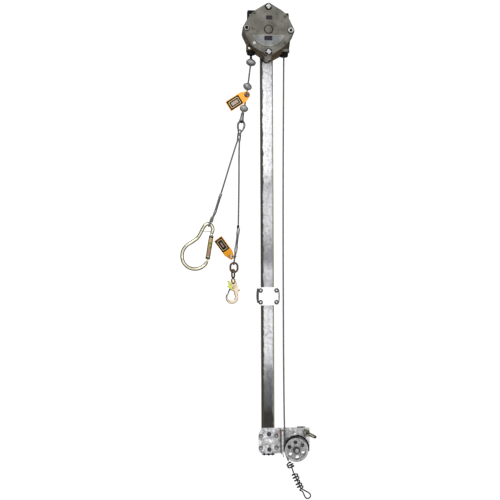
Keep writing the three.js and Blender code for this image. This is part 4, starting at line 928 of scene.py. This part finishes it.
def clamp():
    outline = rounded(rectangle(-36, 43, -36.5, 36), 4)
    spots = [(3 + sx * 31.8, sz * 23.5) for sz in (1, -1) for sx in (-1, 1)]
    holes = [circle(x, z, 3.3, 24) for x, z in spots]
    face = plate(outline, *MAST_PLATE, holes, 0.9)
    piece("clamp_plate", face, CLAMP, "frame", ["clamp_front_plate"])
    channel = refined("clamp_channel", "clamp_rear_channel", CLAMP)
    # painted shade on the channel: near-black on its left side, grey zinc on its right side
    painted(channel, (CLAMP_SIDE_SHADE, lambda at, out: at.x < -34), (PLATE, lambda at, out: at.x > 42))
    for i, (x, z) in enumerate(spots, 1):
        parts = [bar((x, -66, z), (x, -1.6, z), 3, 3, 20, 0.3)]
        parts += nut(x, z, -64.6, 4.4, 6.4, start=0.2 * i, washer=9.2)
        piece(f"clamp_bolt_{i}_set", merged(*parts), DARK_ZINC, "frame", [f"clamp_bolt_{i}"])
        dome = [(0, 0), (2.6, 0.2), (3.7, 0.9), (4.0, 1.9), (4.0, 2.6), (0, 2.6)]
        end = turned(dome, (x, -70.6, z), sides=28, closed=False)
        piece(f"clamp_bolt_{i}_end", end, BRIGHT, "frame")


UBOLT_Z = (-556.5, -604.5)


def lower_bracket():
    holes = [circle(s * 31, z, 4, 28) for z in UBOLT_Z for s in (-1, 1)]
    big = rounded([(-38, -613), (-29, -622), (165.5, -622), (165.5, -526), (-23, -526), (-38, -545)], 3)
    more_holes = [circle(WHEEL.x, WHEEL.z, 8.3, 32), circle(106.6, -551.4, 3.2, 24)]
    back = plate(big, *MAST_PLATE, [*holes, *more_holes], 0.7)
    piece("bracket_plate", back, PLATE, "frame", ["wheel_plate"])
    front = rounded([(-25, -631), (55.5, -626), (55.5, -529), (-24, -531), (-40, -548), (-40, -616)], 2.5)
    face = plate(front, -69.7, -64.7, holes, 0.8)
    wall = block(48.5, 55.5, -114, -68.7, -621, -529, 1.0)
    prong = bar((53, -80, -618), (60, -80, -641), 2.2, 1.7, 20, 0.8)
    piece("bracket_face", merged(face, wall, prong), PLATE, "frame", ["bracket_front_plate"])
    inner = block(46.4, 48.7, -113, -70, -620, -530, 0.4)
    piece("guard_shade", inner, DARK_ZINC, "frame")
    patch = plate(rounded(rectangle(45.4, 57, -113.8, -92), 1.2), -547, -528.4, bevel=0.4, flat=True)
    piece("guard_rust", patch, RUST, "frame")
    strip = block(115, 147, -66, -58.6, -526.4, -522.6, 0.8)
    piece("plate_edge_strip", strip, NEAR_BLACK_ZINC_AND_SHADE, "frame")
    heads = []
    for x, z in ((2, -549.6), (2.8, -611.5)):
        heads += nut(x, z, -69.7, 4.5, 7.8, washer=8.8)
    ends = [bar((x, -78, z), (x, -68, z), 4, 3.8, 20, 0.8) for x, z in ((-18, -629), (0, -630), (16, -629.5))]
    piece("bracket_screws", merged(*heads), DARK_ZINC, "frame")
    piece("bracket_bolt_ends", merged(*ends), BLACK_RUBBER_AND_SHADE, "frame")
    # a lighter strip on the flange's front edge as painted highlight
    lip = block(48.2, 55.8, -114.5, -113.4, -619, -547, 0.4)
    piece("guard_lip_highlight", lip, ZINC, "frame")
    for name, z in (("u_bolt_upper", UBOLT_Z[0]), ("u_bolt_lower", UBOLT_Z[1])):
        rods = [(s * 31, y, z) for s, ys in ((-1, (-78.7, -50, -12)), (1, ())) for y in ys]
        rods += [(-29, -6, z), (-24, -4.5, z), (0, -4.5, z), (24, -4.5, z), (29, -6, z)]
        rods += [(31, y, z) for y in (-12, -50, -78.7)]
        parts = [tube(smooth_route(rods, 6), 3.4, 20)]
        for s in (-1, 1):
            parts += nut(s * 31, z, -70, 5.5, 7.2, start=0.3 * s, washer=8.6)
        whole = piece(f"{name}_set", merged(*parts), ZINC, "frame", [name])
        # the nuts and washers get a darker metal, partly their own tone and partly painted shade
        painted(whole, (SLEEVE_METAL, lambda at, out: -75.9 < at.y < -69.5))


def guide_wheel():
    """A turned wheel with a rope groove, a thin web with six holes and a raised hub."""
    rim = turned([(38.5, -12.2), (40, -13), (46, -13), (47, -12.2), (47, -6.2), (46.6, -5.8), (43.4, -2.4),
                  (42.6, -1.2), (42.4, 0), (42.6, 1.2), (43.4, 2.4), (46.6, 5.8), (47, 6.2), (47, 12.2),
                  (46, 13), (40, 13), (38.5, 12.2), (36.5, 6.5), (36.5, -6.5)], WHEEL, sides=96)
    holes = [circle(WHEEL.x + 29.6 * math.cos(t), WHEEL.z + 29.6 * math.sin(t), 7.6, 40)
             for t in [math.radians(97.6 + 60 * i) for i in range(6)]]
    holes.append(circle(WHEEL.x, WHEEL.z, 12.3, 48))
    web = plate(circle(WHEEL.x, WHEEL.z, 39.4, 96), -105, -87, holes, 0.9)
    hub = turned(ring_profile(12.3, 17.4, -13, 13, 0.8), WHEEL, (0, 1, 0), 64)
    wheel = piece("wheel", merged(rim, web, hub), WHEEL_METAL, "wheel", ["guide_wheel"])
    reach = lambda at: math.hypot(at.x - WHEEL.x, at.z - WHEEL.z)
    # the rim's outer faces and the groove get near-black as painted shade
    painted(wheel, (GROOVE_SHADE, lambda at, out: reach(at) > 41.8 and abs(out.y) < 0.75))
    lines = [turned(ring_profile(r, r + 0.8, -9.5, -8.6, 0.2), WHEEL, sides=96)
             for r in (37.6, 33.5, 25.5, 19.2)]
    piece("wheel_tool_marks", merged(*lines), DARK_ZINC, "wheel")
    ring = turned(ring_profile(8.3, 12, -13, 13, 0.6), WHEEL, (0, 1, 0), 48)
    piece("wheel_bush", ring, BEARING, "wheel", ["wheel_bearing"])
    x, z = WHEEL.x, WHEEL.z
    axle = [bar((x, -123.8, z), (x, -52.2, z), 8, 8, 40, 1.0), *nut(x, z, -59.1, 7, 12, back=True)]
    axle.append(bar((x, -82.7, z), (x, -64.7, z), 12, 12, 40, 0.6))
    piece("axle", merged(*axle), STEEL, "frame", ["wheel_axle"])
    cap = nut(x, z, -110.5, 9.5, 12, start=0.4) + [plate(circle(x, z, 15, 48), -111.5, -109.3, bevel=0.6)]
    piece("axle_nut", merged(*cap), DARK_ZINC, "frame")
    boss = bar((x, -124.2, z), (x, -119.8, z), 5.5, 5.5, 32, 0.8)
    piece("axle_centre", boss, STEEL, "frame")
    # a black ring behind the wheel on three pins, as painted shadow of the wheel on the plate
    guard = [plate(circle(112, -602.5, 49.5, 96), -81.4, -79.4, [circle(112, -602.5, 43.5, 96)], bevel=0.5)]
    for turn in (35, 80, 150):
        t = math.radians(turn)
        x, z = 112 + 46.5 * math.cos(t), -602.5 + 46.5 * math.sin(t)
        guard.append(bar((x, -79.6, z), (x, -64.2, z), 2.5, 2.5, 20, 0.3))
    piece("wheel_shadow_ring", merged(*guard), BLACK_RUBBER_AND_SHADE, "frame")


def corner_fittings():
    parts = [turned(circle(11, 0, 3, 16), EYE, sides=64)]
    for turn in (120, 200):
        t = math.radians(turn)
        x, z = EYE.x + 11 * math.cos(t), EYE.z + 11 * math.sin(t)
        parts.append(bar((x, EYE.y, z), (x, -64.6, z), 2.6, 3.2, 20, 0.4))
    piece("corner_eye", merged(*parts), LINK_METAL, "frame", ["corner_ring"])
    dip = math.radians(-28)
    along = Vector((math.cos(dip), 0, math.sin(dip)))
    across = Vector((-0.56 * math.sin(dip), -0.828, 0.56 * math.cos(dip)))
    link = tube(oval_line(EYE + along * 22.4, along, across, 22, 8.8), 3.4, 20, closed=True)
    piece("corner_chain_link", link, LINK_METAL, "plate_link", ["corner_link"])


# ---- Splices, tags and end fittings ----
def eye_splice(name, node, top, ferrules, bar_at, eye, half, wide=6.2, shrink=0, neck_sleeve=()):
    """Rope doubled through two ferrules round a fitting's bar, as in the CAD part."""
    start, centre = Vector((top[0], ROPE_Y, top[1])), Vector((bar_at[0], ROPE_Y, bar_at[1]))
    upper, lower = (Vector((p[0], ROPE_Y, p[1])) for p in ferrules)
    down = (centre - lower).normalized()
    side, depth = Vector((down.z, 0, -down.x)), Vector((0, 1, 0))
    pair = lambda point, sign: point + side * (1.9 * sign) - depth * (1.9 * sign)
    neck = lambda sign: centre - down * (eye * 1.5) - depth * (0.72 * eye * sign)
    loop = [centre - depth * (eye * math.cos(math.radians(t))) + down * (eye * math.sin(math.radians(t)))
            for t in range(0, 181, 30)]
    middle = upper.lerp(lower, 0.5)
    there = [pair(point, 1) for point in (upper, middle, lower)]
    back = [pair(point, -1) for point in (lower, middle, upper, upper + down * (1 - half))]
    rope, _ = laid_rope([start, *there, neck(1), *loop, neck(-1), *back], step=2.0, per=6)
    piece(f"{name}_rope", rope, WIRE, "frame", [node], 70)
    profile = [(0, -half), (wide - 1, -half), (wide, -half + 1.0)]
    bands = 4 if half > 10 else 3
    for i in range(bands):
        at = -half + 2 + (2 * half - 4) * i / bands
        pitch = (2 * half - 4) / bands
        profile += [(wide, at + 0.15 * pitch), (wide - 0.8, at + 0.35 * pitch)]
        profile += [(wide - 0.8, at + 0.65 * pitch), (wide, at + 0.85 * pitch)]
    profile += [(wide, half - 1.0), (wide - 1, half), (0, half)]
    caps = [turned(profile, point, down, 36, False) for point in (upper, lower)]
    if neck_sleeve:
        caps.append(bar(*(Vector((p[0], ROPE_Y, p[1])) for p in neck_sleeve), 6.6, 7.4, 32, 1.2))
    piece(f"{name}_ferrules", merged(*caps), BALL_METAL, "frame")
    if shrink:
        cover_end = bar(start + down * 0.6, start + down * shrink, 4.6, 5.0, 28, 0.8)
        piece(f"{name}_shrink", cover_end, BLACK_RUBBER_AND_SHADE, "frame")
    liner = tube([p + (centre - p) * 0.12 for p in loop], 3.6, 20)
    piece(f"{name}_thimble", liner, BLACK_RUBBER_AND_SHADE, "frame")


def tag(name, node, body, hole, turn, roll, hole_r, ring_at, ring_r, patch_inset):
    """A flat tag with a blank dark panel, a pale border, a blank patch and a grommet, on a split ring."""
    half, end = 22, -88
    shoulder = [(-16, -half), (8, -11), (12, -6), (12, 6), (8, 11), (-16, half)]
    outline = rounded([(end, -half), *shoulder, (end, half)], 2)
    spin = Matrix.Rotation(math.radians(-turn), 4, "Y") @ Matrix.Rotation(math.radians(roll), 4, "X")
    put = Matrix.Translation(hole) @ spin
    sheet = moved(plate(outline, -0.8, 0.8, [circle(0, 0, hole_r, 32)], 0.25), put)
    piece(name, sheet, ORANGE, body, [node])
    inset = lambda d: rectangle(end + 3 + d, -30 - d, -half + 2.5 + d, half - 3 - d)
    panel = moved(plate(rounded(inset(0), 1.5), -1.15, 1.15, bevel=0.12), put)
    piece(f"{name}_panel", panel, TAG_BLACK, body)
    line = moved(plate(rounded(inset(6), 1), -1.35, 1.35, [rounded(inset(7.8), 0.8)], 0.1), put)
    piece(f"{name}_border", line, TAG_PALE, body)
    patch = moved(plate(rounded(inset(patch_inset), 1), -1.3, 1.3, bevel=0.1), put)
    piece(f"{name}_patch", patch, TAG_MUTED, body)
    thick = 2.6 if hole_r > 6 else 1.9
    grommet = turned(ellipse(hole_r + thick - 1.4, 0, thick, 1.5, 12), (0, 0, 0), sides=40)
    piece(f"{name}_grommet", moved(grommet, put), GROMMET if hole_r > 6 else ZINC, body)
    ring = turned(circle(ring_r, 0, 1.2, 10), ring_at, (0, 0, 1))
    piece(f"{name}_ring", ring, DARK_ZINC, body)


CARABINER = flat([
    (-241.6, 139.5), (-250, 127.3), (-270, 113.8), (-294, 110.5), (-319, 119.2), (-336.5, 139), (-341.5, 163),
    (-336.5, 187), (-321, 206.5), (-297, 222), (-279.5, 235), (-267.5, 253.5), (-257.3, 273), (-248.5, 285.5),
    (-238, 291), (-225.5, 286.5), (-218.2, 271), (-221.2, 255.8), (-222.2, 251.4),
])
GATE_LOW, GATE_HIGH = Vector((-241.2, ROPE_Y, 143)), Vector((-223.2, ROPE_Y, 250.5))


def carabiner():
    """A pear-shaped frame of round bar, a pinned gate and a knurled lock sleeve."""
    ease = lambda s: CARABINER_ROD_R - 2.1 * max(0.0, 1 - s / 0.03) - 1.7 * max(0.0, (s - 0.96) / 0.04)
    inside = Vector((-282, ROPE_Y, 190))
    line = [p + (inside - p).normalized() * CARABINER_INSET for p in smooth_route(CARABINER, 10)]
    shape = tube(line, ease, 32)
    x, z = GATE_LOW.x, GATE_LOW.z
    parts = [shape]
    for side in (-1, 1):
        y = ROPE_Y + side * 4.6
        parts.append(bar((x, y - 1.2, z), (x, y + 1.2, z), 5.4, 5.4, 36, 0.5))
        parts.append(bar((x, y, z), (-245, y, 133.5), 2.4, 2.0, 20, 0.4))
    bow = piece("carabiner_frame", merged(*parts), GOLD, "carabiner", ["carabiner_body"])
    # darker olive flanks on the frame as painted shade
    painted_flank_shade(bow)
    pin = bar((x, ROPE_Y - 6.8, z), (x, ROPE_Y + 6.8, z), 2.2, 2.2, 28, 0.6)
    piece("hinge_pin", pin, ZINC, "carabiner")
    rod = bar((-257.2, ROPE_Y, 259.4), (-226.8, ROPE_Y, 259.4), 1.3, 1.3, 20, 0.2)
    profile = [(0, -1.9), (1.6, -1.5), (2.2, 0), (1.6, 1.5), (0, 1.9)]
    ball = turned(profile, (-227.6, ROPE_Y, 259.4), (1, 0, 0), 20, False)
    piece("keeper_pin", merged(rod, ball), STEEL, "carabiner", ["captive_pin"])
    at = lambda share: GATE_LOW.lerp(GATE_HIGH, share)
    gate = [bar((x, ROPE_Y - 3, z), (x, ROPE_Y + 3, z), 4.6, 4.6, 32, 0.5)]
    for low, high, r0, r1, sides, edge in ((0.02, 0.1, 2.8, 2.8, 24, 0.2), (0.08, 0.965, 4.6, 4.6, 32, 0.3),
                                           (0.075, 0.1, 6.6, 6.6, 36, 0.8), (0.94, 0.995, 6.2, 5.6, 36, 0.9)):
        gate.append(bar(at(low), at(high), r0, r1, sides, edge))
    piece("gate_bar", merged(*gate), BRIGHT, "gate", ["carabiner_gate"])
    axis = (GATE_HIGH - GATE_LOW).normalized()
    foot = 0.06
    length = (at(0.93) - at(foot)).length
    ends = [(5.4, 0.6), (7.2, 0), (8.4, 0.6), (8.9, 2), (8.9, 13), (8.5, 13.6), (8.5, 14.4), (8.8, 15)]
    sleeve = turned([*ends, *[(r, length - a) for r, a in ends[::-1]]], at(foot), axis, 56)
    barrel = piece("lock_barrel", sleeve, IRIDESCENT, "lock_sleeve", ["gate_sleeve"])
    # the barrel's flanks get dark olive as painted shade
    painted(barrel, (OLIVE_SHADE, lambda at, out: abs(out.y) < 0.6))
    low, high = at(foot) + axis * 15.5, at(foot) + axis * (length - 15.5)
    spokes = [Vector((math.cos(t) * axis.z, math.sin(t), -math.cos(t) * axis.x)) * 8.65
              for t in [k * math.pi / 14 for k in range(28)]]
    knurl = [bar(low + spoke, high + spoke, 0.42, 0.42, 6, 0.1) for spoke in spokes]
    piece("lock_barrel_knurl", merged(*knurl), IRIDESCENT, "lock_sleeve")
    for label, material, starts, width in (("dark", BRONZE_AND_EDGE_SHADE, (2.4, length - 9.4), 7.0),
                                           ("pale", BRIGHT, (10.2, length - 12.4), 2.2)):
        bands = []
        for a in starts:
            profile = [(8.6, a), (9.02, a + 0.3), (9.02, a + width - 0.3), (8.6, a + width)]
            bands.append(turned(profile, at(foot), axis, 56))
        piece(f"lock_barrel_{label}_bands", merged(*bands), material, "lock_sleeve")


def chain_link_and_swivel():
    link = tube(oval_line(LINK, (0, 0, 1), (1, 0, 0), 8.6, 14.2), 4.1, 28, closed=True)
    piece("chain_oval", link, BRONZE_AND_EDGE_SHADE, "chain_link", ["oval_link"])
    top = LINK.z - 18.2
    turn = math.radians(58)
    across = (math.cos(turn), math.sin(turn), 0)
    loop = tube(oval_line((HOOK_X, ROPE_Y, top - 6.5), (0, 0, 1), across, 13, 10), 3.4, 24, closed=True)
    profile = [(0, 51), (4.8, 51), (5.6, 51.8), (5.6, 54.8), (4.8, 55.5), (4.4, 56), (4.4, 70), (5.2, 72),
               (4.6, 74.5), (3, 76), (0, 76)]
    neck = turned(profile, (HOOK_X, ROPE_Y, 0), (0, 0, 1), 36, False)
    piece("swivel_loop", merged(loop, neck), BRONZE_AND_EDGE_SHADE, "swivel", ["swivel_eye"])


def snap_hook():
    """The hook: a round-edged ring, a thick spine round the swivel barrel, a keeper and a lever."""
    slab = lambda outline, half, bevel: plate(outline, ROPE_Y - half, ROPE_Y + half, bevel=bevel)
    ring = arc(-144.4, -1.7, 25, math.radians(146), math.radians(418), 56)
    ring += [(-128, 40), (-136, 24)]
    ring += arc(-147.5, 0.5, 15, math.radians(45), math.radians(-220), 48)
    spine = rounded([(-136, 20), (-120, 6), (-118.6, 28), (-121.5, 46), (-130.6, 57), (-130.6, 58.5),
                     (-142, 46), (-143.5, 38), (-143.5, 25)], 2.5)
    cheek = rounded([(-143.9, 25), (-154, 30), (-156, 38), (-154, 46), (-149.2, 57), (-147, 58),
                     (-141, 47), (-141, 30)], 2)
    left_arm = rounded([(-149, 53), (-143.5, 50), (-146.6, 58), (-147.4, 70), (-149, 70)], 1)
    right_arm = rounded([(-129.6, 70), (-131.4, 70), (-131.4, 58), (-128, 50), (-124, 53)], 1)
    barrel = [(4.9, 57.3), (7.6, 57.3), (8.5, 58.4), (8.5, 69.4), (7.6, 71), (4.9, 71)]
    parts = [
        slab(ring, 5.5, 3.4),
        slab(spine, 5.5, 1.8),
        plate(cheek, ROPE_Y - 5.5, ROPE_Y - 2.4, bevel=0.8),
        plate(cheek, ROPE_Y + 2.4, ROPE_Y + 5.5, bevel=0.8),
        slab(right_arm, 5, 1.0),
        turned(barrel, (HOOK_X, ROPE_Y, 0), (0, 0, 1), 44),
        bar((-122, ROPE_Y, 27.5), (-111.5, ROPE_Y, 26), 3.4, 2.6, 28, 1.0),
        slab(left_arm, 4.5, 0.8),
    ]
    body = piece("hook", merged(*parts), PEACH, "hook", ["hook_body"])
    # the hook's flanks and its lower left edge get olive tones as painted shade
    painted(body, (OLIVE_HALF_SHADE, lambda at, out: abs(out.y) < 0.93), (OLIVE_SHADE, lambda at, out: abs(out.y) < 0.7),
            (OLIVE_SHADE, lambda at, out: out.x < -0.2 and at.x < -146 and at.z < 26))
    strap = rounded([(-153, 37), (-150, 39.2), (-146.4, 36.4), (-147.5, 32.4), (-155, 21), (-160, 7.5),
                     (-163, 8.5), (-160, 22)], 1)
    pivot = bar((-149.5, ROPE_Y - 5.3, 35.5), (-149.5, ROPE_Y + 7, 35.5), 2, 2, 24, 0.5)
    keeper = merged(slab(strap, 2.1, 0.6), pivot)
    piece("keeper_strap", keeper, DARK_ZINC, "keeper", ["hook_gate"])
    front = ROPE_Y - 5.8
    shape = rounded([(-163, 63), (-158, 67), (-153, 61), (-146, 50), (-136, 40), (-136.5, 33), (-144, 29),
                     (-154, 33), (-161, 41), (-158, 52)], 2)
    parts = [plate(shape, front - 3.4, front, bevel=1.0)]
    for k in range(3):
        x, z = -161 + k * 1.6, 58 - k * 4.2
        rib = rounded([(x, z), (x + 9, z - 0.4), (x + 9, z - 1.8), (x, z - 1.4)], 0.4)
        parts.append(plate(rib, front - 4.2, front - 3, bevel=0.3))
    lever = piece("lever_plate", merged(*parts), LEVER, "lever", ["lock_lever"])
    # the lever's edges get dark bronze as painted shade
    painted(lever, (BRONZE_AND_EDGE_SHADE, lambda at, out: abs(out.y) < 0.55))
    rivets = [bar((-140.5, front - 5.2, 37), (-140.5, front - 3, 37), 3.4, 3.2, 28, 0.7),
              bar((-161.5, front - 5, 41.5), (-161.5, front - 0.2, 41.5), 2.6, 2.6, 24, 0.6)]
    piece("lever_rivets", merged(*rivets), ZINC, "lever")
    line = bar((-156, front + 0.05, 31.9), (-133, front + 0.05, 22.4), 1.0, 1.0, 12, 0.2)
    piece("hook_seam", line, BRONZE_AND_EDGE_SHADE, "hook")


def inner_looks():
    """The pieces inside the head keep their CAD shapes and get worked metal."""
    looks = {
        STEEL: ("main_shaft", "rope_sheave", "drive_gear", "brake_rotor"),
        IRON: ("brake_drum", "brake_shoe_1", "brake_shoe_2"),
        BEARING: ("bearing_rear", "bearing_front"),
        BLACK_RUBBER_AND_SHADE: ("cover_gasket",),
    }
    for material, nodes in looks.items():
        for node in nodes:
            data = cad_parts[node].data
            data.materials.clear()
            data.materials.append(material)


def studio():
    """A pale round floor that curves up into a pale wall, with soft key, fill, top and back lights."""
    floor, bend, top, floor_z = 6.0, 1.5, 8.0, -0.86
    turns = [k * math.pi / 24 for k in range(1, 13)]
    curve = [(floor + bend * math.sin(t), bend - bend * math.cos(t)) for t in turns]
    profile = [(0.0, 0.0), (floor, 0.0), *curve, (floor + bend, top), (0.0, top)]
    bm = turned(profile, (0, 0, floor_z), UP, 96, False)
    mesh = bpy.data.meshes.new("backdrop")
    bm.to_mesh(mesh)
    bm.free()
    n = Nodes("backdrop")
    n.finish(n.ramp(n.noise(2, 2), (0.3, (0.18, 0.18, 0.18)), (0.7, (0.2, 0.2, 0.2))), 0.9, 0.0,
             Emission_Color=(1, 1, 1, 1), Emission_Strength=0.93, Specular_IOR_Level=0.0)
    mesh.materials.append(n.material)
    for polygon in mesh.polygons:
        polygon.use_smooth = True
    backdrop = bpy.data.objects.new("backdrop", mesh)
    backdrop.visible_glossy = False
    backdrop.visible_diffuse = False
    backdrop.visible_shadow = False
    SCENE.collection.objects.link(backdrop)
    SCENE.world = soft_room()
    for name, at, size, power in (("key", (-1.5, -3.0, 2.4), 1.2, 42), ("fill", (1.6, -3.2, 0.6), 1.6, 12),
                                  ("top", (0.1, -0.9, 3.0), 1.2, 14), ("back", (1.4, 3.0, 2.2), 1.4, 34)):
        data = bpy.data.lights.new(name, "AREA")
        data.size = size
        data.energy = power
        lamp = bpy.data.objects.new(name, data)
        lamp.location = at
        lamp.visible_camera = False
        lamp.rotation_euler = (Vector((0, 0, 0.2)) - Vector(at)).to_track_quat("-Z", "Y").to_euler()
        SCENE.collection.objects.link(lamp)


def soft_room():
    """A bright front, ceiling and back, with dim sides between them that give round metal its dark edges."""
    world = bpy.data.worlds.new("world")
    world.use_nodes = True
    tree = world.node_tree
    add, link = tree.nodes.new, tree.links.new
    split = add("ShaderNodeSeparateXYZ")
    link(add("ShaderNodeTexCoord").outputs["Generated"], split.inputs[0])
    parts = []
    front, ceiling, back = (1, -0.3, -0.62, 0.03, 1.2), (2, 0.35, 0.9, 0.0, 0.5), (1, 0.7, 0.95, 0.0, 0.9)
    for output, start, end, low, high in (front, ceiling, back):
        span = add("ShaderNodeMapRange")
        span.interpolation_type = "SMOOTHSTEP"
        for key, value in (("From Min", start), ("From Max", end), ("To Min", low), ("To Max", high)):
            span.inputs[key].default_value = value
        link(split.outputs[output], span.inputs["Value"])
        parts.append(span.outputs[0])
    total = parts[0]
    for part in parts[1:]:
        sum_node = add("ShaderNodeMath")
        link(total, sum_node.inputs[0])
        link(part, sum_node.inputs[1])
        total = sum_node.outputs[0]
    background = tree.nodes["Background"]
    background.inputs[0].default_value = (1, 1, 1, 1)
    link(total, background.inputs[1])
    return world


SCENE.view_settings.view_transform = "Standard"
place_camera()
ropes()
cover()
cover_bolts()
housing()
bumper("bumper_left", -SHEAVE_R, 972.7, 16.7, "rope_bumper_left")
bumper("bumper_right", SHEAVE_R + 0.5, 966.0, 17.0, "rope_bumper_right")
head_mounting()
mast()
clamp()
lower_bracket()
guide_wheel()
corner_fittings()
eye_splice("left_splice", "left_eye_splice", (-185.9, 408.3), ((-188, 401.7), (-209.6, 335.4)), (-231, 288.3),
           8.9, 7.5, neck_sleeve=((-219.6, 317), (-226.4, 296)))
eye_splice("right_splice", "right_eye_splice", (-118.1, 284.7), ((-119, 259), (-127.6, 190)),
           (LINK.x, LINK.z + 18.2), 6.5, 14, 7.0, 12)
tag("upper_tag", "tag_upper", "upper_tag", (-82.2, ROPE_Y - 6, 798.5), 32.6, 4, 7.6,
    (-82.3, ROPE_Y - 2.5, 798.5), 8, 12.5)
tag("lower_tag", "tag_lower", "lower_tag", (-147.7, ROPE_Y, 160.3), -54, 36, 5.5,
    (-139.2, ROPE_Y, 160.3), 14, 16)
carabiner()
chain_link_and_swivel()
snap_hook()
inner_looks()
studio()
